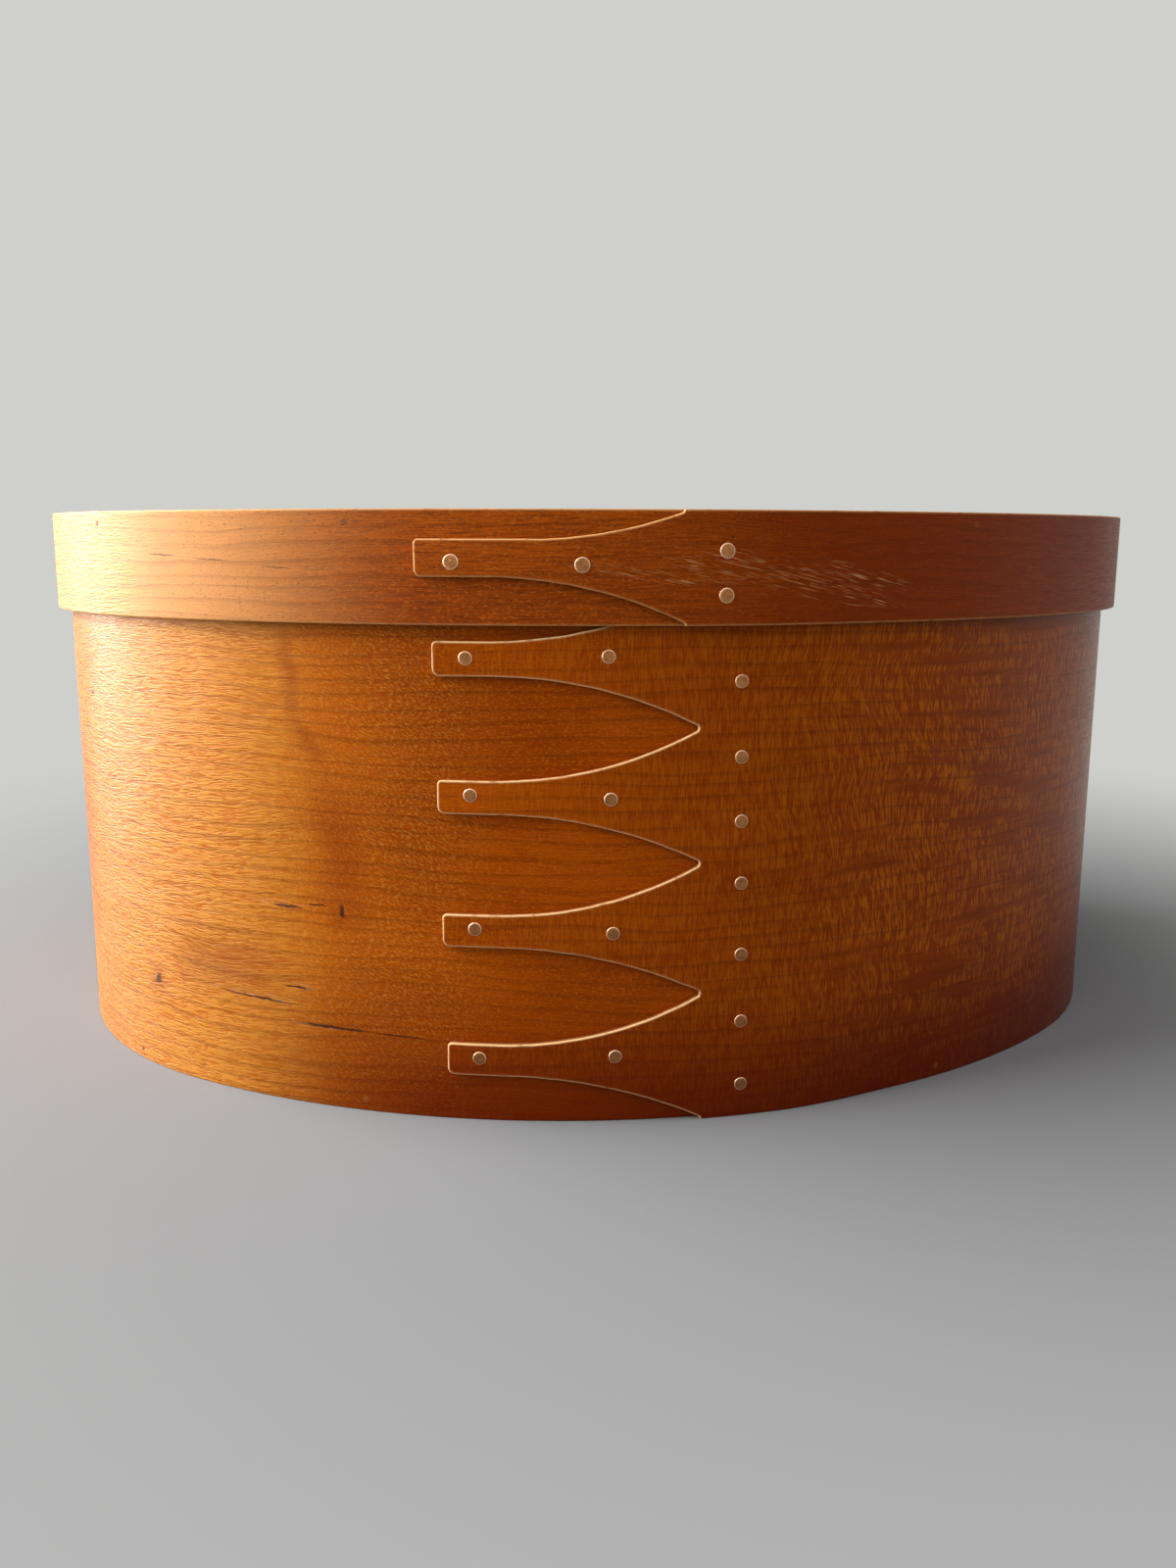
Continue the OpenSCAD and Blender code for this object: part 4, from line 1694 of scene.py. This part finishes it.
@dataclass
class Board(Piece):
    """An oval board set flush into a band, with its edges eased and its bores for the pegs."""

    band: BentBand
    ease: float = 0.3 * MM
    fit: float = 0.05 * MM
    # How far in a flat margin reaches from each eased edge, as a multiple of the ease.
    margin: float = 3.0
    steps: int = 480
    ease_steps: int = 3

    def build(self, material: bpy.types.Material) -> bpy.types.Object:
        """Lofts the board between ovals and bores it for its pegs.

        Args:
            material: the board's material.

        Returns:
            The finished piece.
        """
        low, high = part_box(self.node)
        edge = self.band.oval.grown(-self.band.thick - self.fit)
        rounded = [(self.ease * inset, self.ease * drop) for inset, drop in quarter_round(self.ease_steps)]
        margin = self.margin * self.ease
        levels = [(margin, low.z)] + [(inset, low.z + drop) for inset, drop in rounded]
        levels += [(inset, high.z - drop) for inset, drop in reversed(rounded)] + [(margin, high.z)]
        shape = bmesh.new()
        rings = [[shape.verts.new((x, y, z)) for x, y in edge.grown(-inset).ring(self.steps)]
                 for inset, z in levels]
        for lower, upper in zip(rings, rings[1:]):
            for i in range(self.steps):
                after = (i + 1) % self.steps
                shape.faces.new((lower[i], lower[after], upper[after], upper[i]))
        shape.faces.new(rings[0][::-1])
        shape.faces.new(rings[-1])
        piece = link_bmesh(self.name, shape)
        self.bore(piece)
        piece.data.materials.append(material)
        return self.declare(piece)

    def bore(self, piece: bpy.types.Object) -> None:
        """Cuts the holes of the pegs into the board's edge.

        Args:
            piece: the board.
        """
        peg = self.band.peg
        radius = peg.diameter / 2 + peg.room
        cutter = bmesh.new()
        for centre in solid_centres(self.band.peg_node):
            way = self.band.oval.outward(centre.x, centre.y)
            bmesh.ops.create_cone(
                cutter, cap_ends=True, segments=peg.sides, radius1=radius, radius2=radius,
                depth=peg.length + 2 * peg.room, matrix=aimed(centre, way))
        holes = link_bmesh("peg_holes", cutter)
        modifier = piece.modifiers.new("holes", "BOOLEAN")
        modifier.object = holes
        modifier.solver = "EXACT"
        bored = evaluated_mesh(piece)
        piece.modifiers.remove(modifier)
        piece.data = bored
        bpy.data.objects.remove(holes)


@dataclass(frozen=True)
class Lamp:
    """A soft rectangular lamp: where it hangs and aims in metres, its size, and its power in watts."""

    name: str
    at: Triple
    aim: Triple
    size: Point
    power: float
    # Whether it lights the object, or only shows in its sheen, as a bright pane does.
    lights: bool = True

    def hang(self) -> None:
        """Puts the lamp into the scene."""
        lamp = bpy.data.lights.new(self.name, "AREA")
        lamp.shape = "RECTANGLE"
        lamp.size, lamp.size_y = self.size
        lamp.energy = self.power
        hung = bpy.data.objects.new(self.name, lamp)
        hung.matrix_world = aimed(Vector(self.at), Vector(self.at) - Vector(self.aim))
        hung.visible_diffuse = self.lights
        bpy.context.scene.collection.objects.link(hung)


@dataclass(frozen=True)
class Studio:
    """A plain pale floor that fades into a pale room, soft light from a window's side, and the camera."""

    floor: str = "#8b8c8d"
    sky: str = "#cfd0cc"
    room_light: float = 0.15
    floor_half: float = 4.0
    # Where the floor starts to fade into the room, and where it has faded.
    fade: Point = (0.15, 0.55)
    lamps: tuple[Lamp, ...] = (
        Lamp("window", (-1.2, 0.25, 0.7), (0, 0.25, 0.25), (1.5, 1.2), 58.0),
        Lamp("window_sheen", (-1.2, 0.3, 0.5), (0, 0.25, 0.1), (1.3, 1.1), 53.0, lights=False),
        Lamp("front", (0.0, -1.5, 0.9), (0, 0, 0.1), (1.4, 1.0), 7.0),
        Lamp("ceiling", (-0.1, -0.6, 1.5), (0, 0, 0), (1.6, 1.6), 9.0),
    )
    # The camera, in millimetres and radians, and its focal length in pixels of a 1200 by 1600 picture.
    camera_at: Triple = (-68.864, -435.533, 146.056)
    pitch_down: float = 0.18529
    yaw_right: float = 0.15064
    roll: float = 0.00255
    focal: float = 1332.1
    picture_long: float = 1600.0
    sensor: float = 36.0
    near_clip: float = 0.01

    def seen(self, tree: Tree) -> Node:
        """Tells rays from the eye, in a mirror or through glass too, from those that carry light.

        Args:
            tree: the tree of a material or of the world.

        Returns:
            1 for rays from the eye and 0 for the others.
        """
        path = add(tree, "ShaderNodeLightPath").outputs
        mirrored = add(tree, "ShaderNodeMath", {
            0: path["Is Camera Ray"], 1: path["Is Glossy Ray"]}, operation="MAXIMUM")
        return add(tree, "ShaderNodeMath", {
            0: mirrored, 1: path["Is Transmission Ray"]}, operation="MAXIMUM")

    def build_floor(self) -> None:
        """Lays the floor."""
        half = self.floor_half
        mesh = bpy.data.meshes.new("floor")
        mesh.from_pydata([(-half, -half, 0), (half, -half, 0), (half, half, 0), (-half, half, 0)], [],
                         [(0, 1, 2, 3)])
        floor = link_object("floor", mesh)
        material = bpy.data.materials.new("matt_floor")
        material.use_nodes = True
        tree = material.node_tree
        tree.nodes.clear()
        seen = self.seen(tree)
        cloth = add(tree, "ShaderNodeBsdfDiffuse", {"Color": linear(self.floor)})
        far_off = add(tree, "ShaderNodeVectorMath", {
            0: add(tree, "ShaderNodeTexCoord").outputs["Object"]}, operation="LENGTH")
        faded = add(tree, "ShaderNodeMapRange", {
            "Value": far_off.outputs["Value"], "From Min": self.fade[0], "From Max": self.fade[1]},
            interpolation_type="SMOOTHSTEP")
        room = add(tree, "ShaderNodeEmission", {"Color": linear(self.sky)})
        amount = add(tree, "ShaderNodeMath", {0: faded, 1: seen}, operation="MULTIPLY")
        both = add(tree, "ShaderNodeMixShader", {0: amount, 1: cloth, 2: room})
        add(tree, "ShaderNodeOutputMaterial", {"Surface": both})
        mesh.materials.append(material)

    def build_world(self) -> None:
        """Surrounds the scene with a pale room that gives a little even light."""
        world = bpy.data.worlds.new("pale_room")
        world.use_nodes = True
        tree = world.node_tree
        tree.nodes.clear()
        lit, shown = (add(tree, "ShaderNodeBackground", {"Color": linear(self.sky), "Strength": strength})
                      for strength in (self.room_light, 1.0))
        both = add(tree, "ShaderNodeMixShader", {0: self.seen(tree), 1: lit, 2: shown})
        add(tree, "ShaderNodeOutputWorld", {"Surface": both})
        bpy.context.scene.world = world

    def build_camera(self) -> None:
        """Sets up the camera."""
        lens = bpy.data.cameras.new("camera")
        lens.sensor_width = self.sensor
        lens.lens = self.focal * self.sensor / self.picture_long
        lens.clip_start = self.near_clip
        ahead = Vector((math.sin(self.yaw_right) * math.cos(self.pitch_down),
                        math.cos(self.yaw_right) * math.cos(self.pitch_down), -math.sin(self.pitch_down)))
        right = Vector((math.cos(self.yaw_right), -math.sin(self.yaw_right), 0))
        up = right.cross(ahead)
        rolled_right = right * math.cos(self.roll) + up * math.sin(self.roll)
        rolled_up = up * math.cos(self.roll) - right * math.sin(self.roll)
        turn = Matrix((rolled_right, rolled_up, -ahead)).transposed().to_4x4()
        camera = bpy.data.objects.new("camera", lens)
        camera.matrix_world = Matrix.Translation(Vector(self.camera_at) * MM) @ turn
        bpy.context.scene.collection.objects.link(camera)
        bpy.context.scene.camera = camera

    def build(self) -> None:
        """Sets up the whole studio."""
        self.build_floor()
        self.build_world()
        for lamp in self.lamps:
            lamp.hang()
        bpy.context.scene.view_settings.view_transform = "Standard"
        self.build_camera()


# Where the box's wood is flawed: two gum lines with a knot, three lower gum lines, and two pin knots.
BOX_MARKS = (
    Mark(-101, 53.2, 12, 1.0, -1), Mark(-92, 54.3, 9, 0.5, 0), Mark(-85, 53.2, 2.0, 4.4, 8),
    Mark(-111, 27.2, 30, 0.9, -2), Mark(-99, 31.6, 11, 0.7, -2), Mark(-88, 21.8, 26, 1.1, -1),
    Mark(-70, 21.2, 20, 0.6, -3), Mark(-148, 26.1, 2.8, 4.4, 0), Mark(-177.9, 103.3, 2.6, 2.0, 0),
)
# Upright bars where the curl lies the other way and reflects less light, painted as shade, and darker wood
# round two knots.
BOX_SHADES = (
    Mark(-98.5, 114, 8, 44, 0), Mark(-94, 97, 9, 26, 30), Mark(-84, 66, 20, 60, 12),
    Mark(-122, 36, 60, 26, 4), Mark(-200, 60, 40, 90, 5), Mark(-85, 52, 11, 13, 0),
    Mark(-148, 26, 12, 14, 0),
)
# Pale torn fibres beside the gum lines.
BOX_SCUFFS = (
    Mark(-103, 53.6, 22, 3.0, -1), Mark(-111, 27.6, 34, 2.6, -2), Mark(-99, 31.8, 14, 2.2, -2),
    Mark(-92, 22.0, 22, 2.2, -1),
)
# The lid's dark mineral streak, and the pinhole beside its seam.
LID_MARKS = (
    Mark(-135, 142.0, 12, 0.5, -3), Mark(-119, 140.9, 14, 0.4, -3), Mark(-99, 139.2, 9, 0.35, -4),
    Mark(-938.6, 146.7, 0.9, 0.7, 0),
)
# Pale rubbed scuffs that fall to the right across the lid's seam.
LID_SCUFFS = (
    Mark(-925.0, 138.2, 78, 9, -10), Mark(-940.0, 139.5, 36, 10, -12), Mark(-902.0, 137.5, 34, 6, -14),
    Mark(-960.0, 138.0, 40, 4, -8), Mark(-905.0, 131.5, 40, 3, -6),
)
# A stretch that no strip reaches, for a figure that isn't there.
NOWHERE = Stretch(-2000.0, -1900.0, 1.0)


@dataclass
class Workshop:
    """What both halves are made with: the trees that bend and drive, and the finishes that they share."""

    bend: Tree
    drive: Tree
    board: bpy.types.Material
    copper: bpy.types.Material
    end_grain: bpy.types.Material


@dataclass
class Half:
    """The box or the lid: a bent band, the tacks that close it, and a board held in it by pegs."""

    band: BentBand
    board: Board
    tack_dent: float = 0.05 * MM
    peg_seed: int = 7

    def driven(self, name: str, node: str, slot: str, seed: int, **sizes: float) -> DrivenPieces:
        """Returns the tacks or pegs of one node, as this half holds them."""
        return DrivenPieces(name, node, self.band.body, slot, self.band.oval, seed=seed, **sizes)

    def build(self, shop: Workshop) -> list[bpy.types.Object]:
        """Builds every piece of this half.

        Args:
            shop: the shape trees and the shared finishes.

        Returns:
            The finished pieces.
        """
        band = self.band
        pieces = [band.build(shop.bend)]
        tack, peg = band.tack.template(2 * band.thick + band.lap_gap), band.peg.template()
        for i, node in enumerate(band.tack_nodes):
            tacks = self.driven("copper_" + node, node, "copper_tack", i + 1,
                                off=band.thick + band.lap_gap, dent=self.tack_dent)
            pieces.append(tacks.build(shop.drive, tack, shop.copper))
        pegs = self.driven("cherry_" + band.peg_node, band.peg_node, "wooden_peg", self.peg_seed)
        pieces.append(pegs.build(shop.drive, peg, shop.end_grain))
        pieces.append(self.board.build(shop.board))
        bpy.data.objects.remove(tack)
        bpy.data.objects.remove(peg)
        return pieces


def box_half() -> Half:
    """Describes the box: four fingers, a row of seam tacks and the bottom board.

    Returns:
        The box, ready to be built.
    """
    low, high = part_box("box_band")
    thick, end_r = 1.7 * MM, 109 * MM
    band = BentBand(
        name="bent_box_band", node="box_band", body="box", slot="cherry_band",
        oval=Oval(high.x, high.y, end_r), thick=thick, fingers=BoxFingers(height=high.z - low.z),
        tack=Tack(head_d=3.5 * MM),
        tack_nodes=("finger_1_tacks", "finger_2_tacks", "finger_3_tacks", "finger_4_tacks", "seam_tacks"),
        peg=Peg(), peg_node="bottom_pegs", ramp_x=27 * MM, foot_wear=0.0, top_wear=0.4,
        finish=CherryBand("oiled_cherry_band", marks=BOX_MARKS, shades=BOX_SHADES, scuffs=BOX_SCUFFS,
                          scuff="#d0a68c", scuff_tilt=2.0, foot_shade_height=42.0))
    return Half(band, Board("oval_bottom_board", "bottom_board", "box", "cherry_board", band))


def lid_half() -> Half:
    """Describes the lid: one finger, two seam tacks and the lid board.

    Returns:
        The lid, ready to be built.
    """
    low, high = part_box("lid_band")
    box_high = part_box("box_band")[1]
    thick, end_r = 1.5 * MM, 109 * MM + high.x - box_high.x
    band = BentBand(
        name="bent_lid_band", node="lid_band", body="lid", slot="cherry_rim",
        oval=Oval(high.x, high.y, end_r), thick=thick, fingers=LidFinger(height=high.z - low.z),
        tack=Tack(head_d=3.8 * MM), tack_nodes=("lid_finger_tacks", "lid_seam_tacks"),
        peg=Peg(), peg_node="lid_pegs", ramp_x=16 * MM, foot_wear=0.9, top_wear=0.6,
        finish=CherryBand(
            "oiled_cherry_rim", heart="#a84a04", deep="#701c00", line="#4d1600", fleck="#b25c18",
            # Its pale honey is partly a painted highlight on the rim's end toward the window.
            roughness=0.47, specular=0.4, rubbed="#e2a768", honey="#d4924e", pore_dark=0.7, fibre_dark=0.75,
            line_dark=0.3, rayed=NOWHERE, hatched=NOWHERE, speckled=NOWHERE,
            honeyed=Stretch(-340.0, -96.0, 36.0), curly=Stretch(-420.0, -150.0, 9.0),
            marks=LID_MARKS, scuffs=LID_SCUFFS))
    return Half(band, Board("oval_lid_board", "lid_board", "lid", "cherry_board", band))


def main() -> None:
    """Builds the studio, the box and the lid."""
    logging.basicConfig(level=logging.INFO, format="%(message)s")
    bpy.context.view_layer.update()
    Studio().build()
    shop = Workshop(bending_tree(), driving_tree(), CherryBoard().material(), CopperTack().material(),
                    CherryPeg().material())
    for half in (box_half(), lid_half()):
        for piece in half.build(shop):
            log.info("%s: %d faces", piece.name, len(piece.data.polygons))


if __name__ == "__main__":
    main()
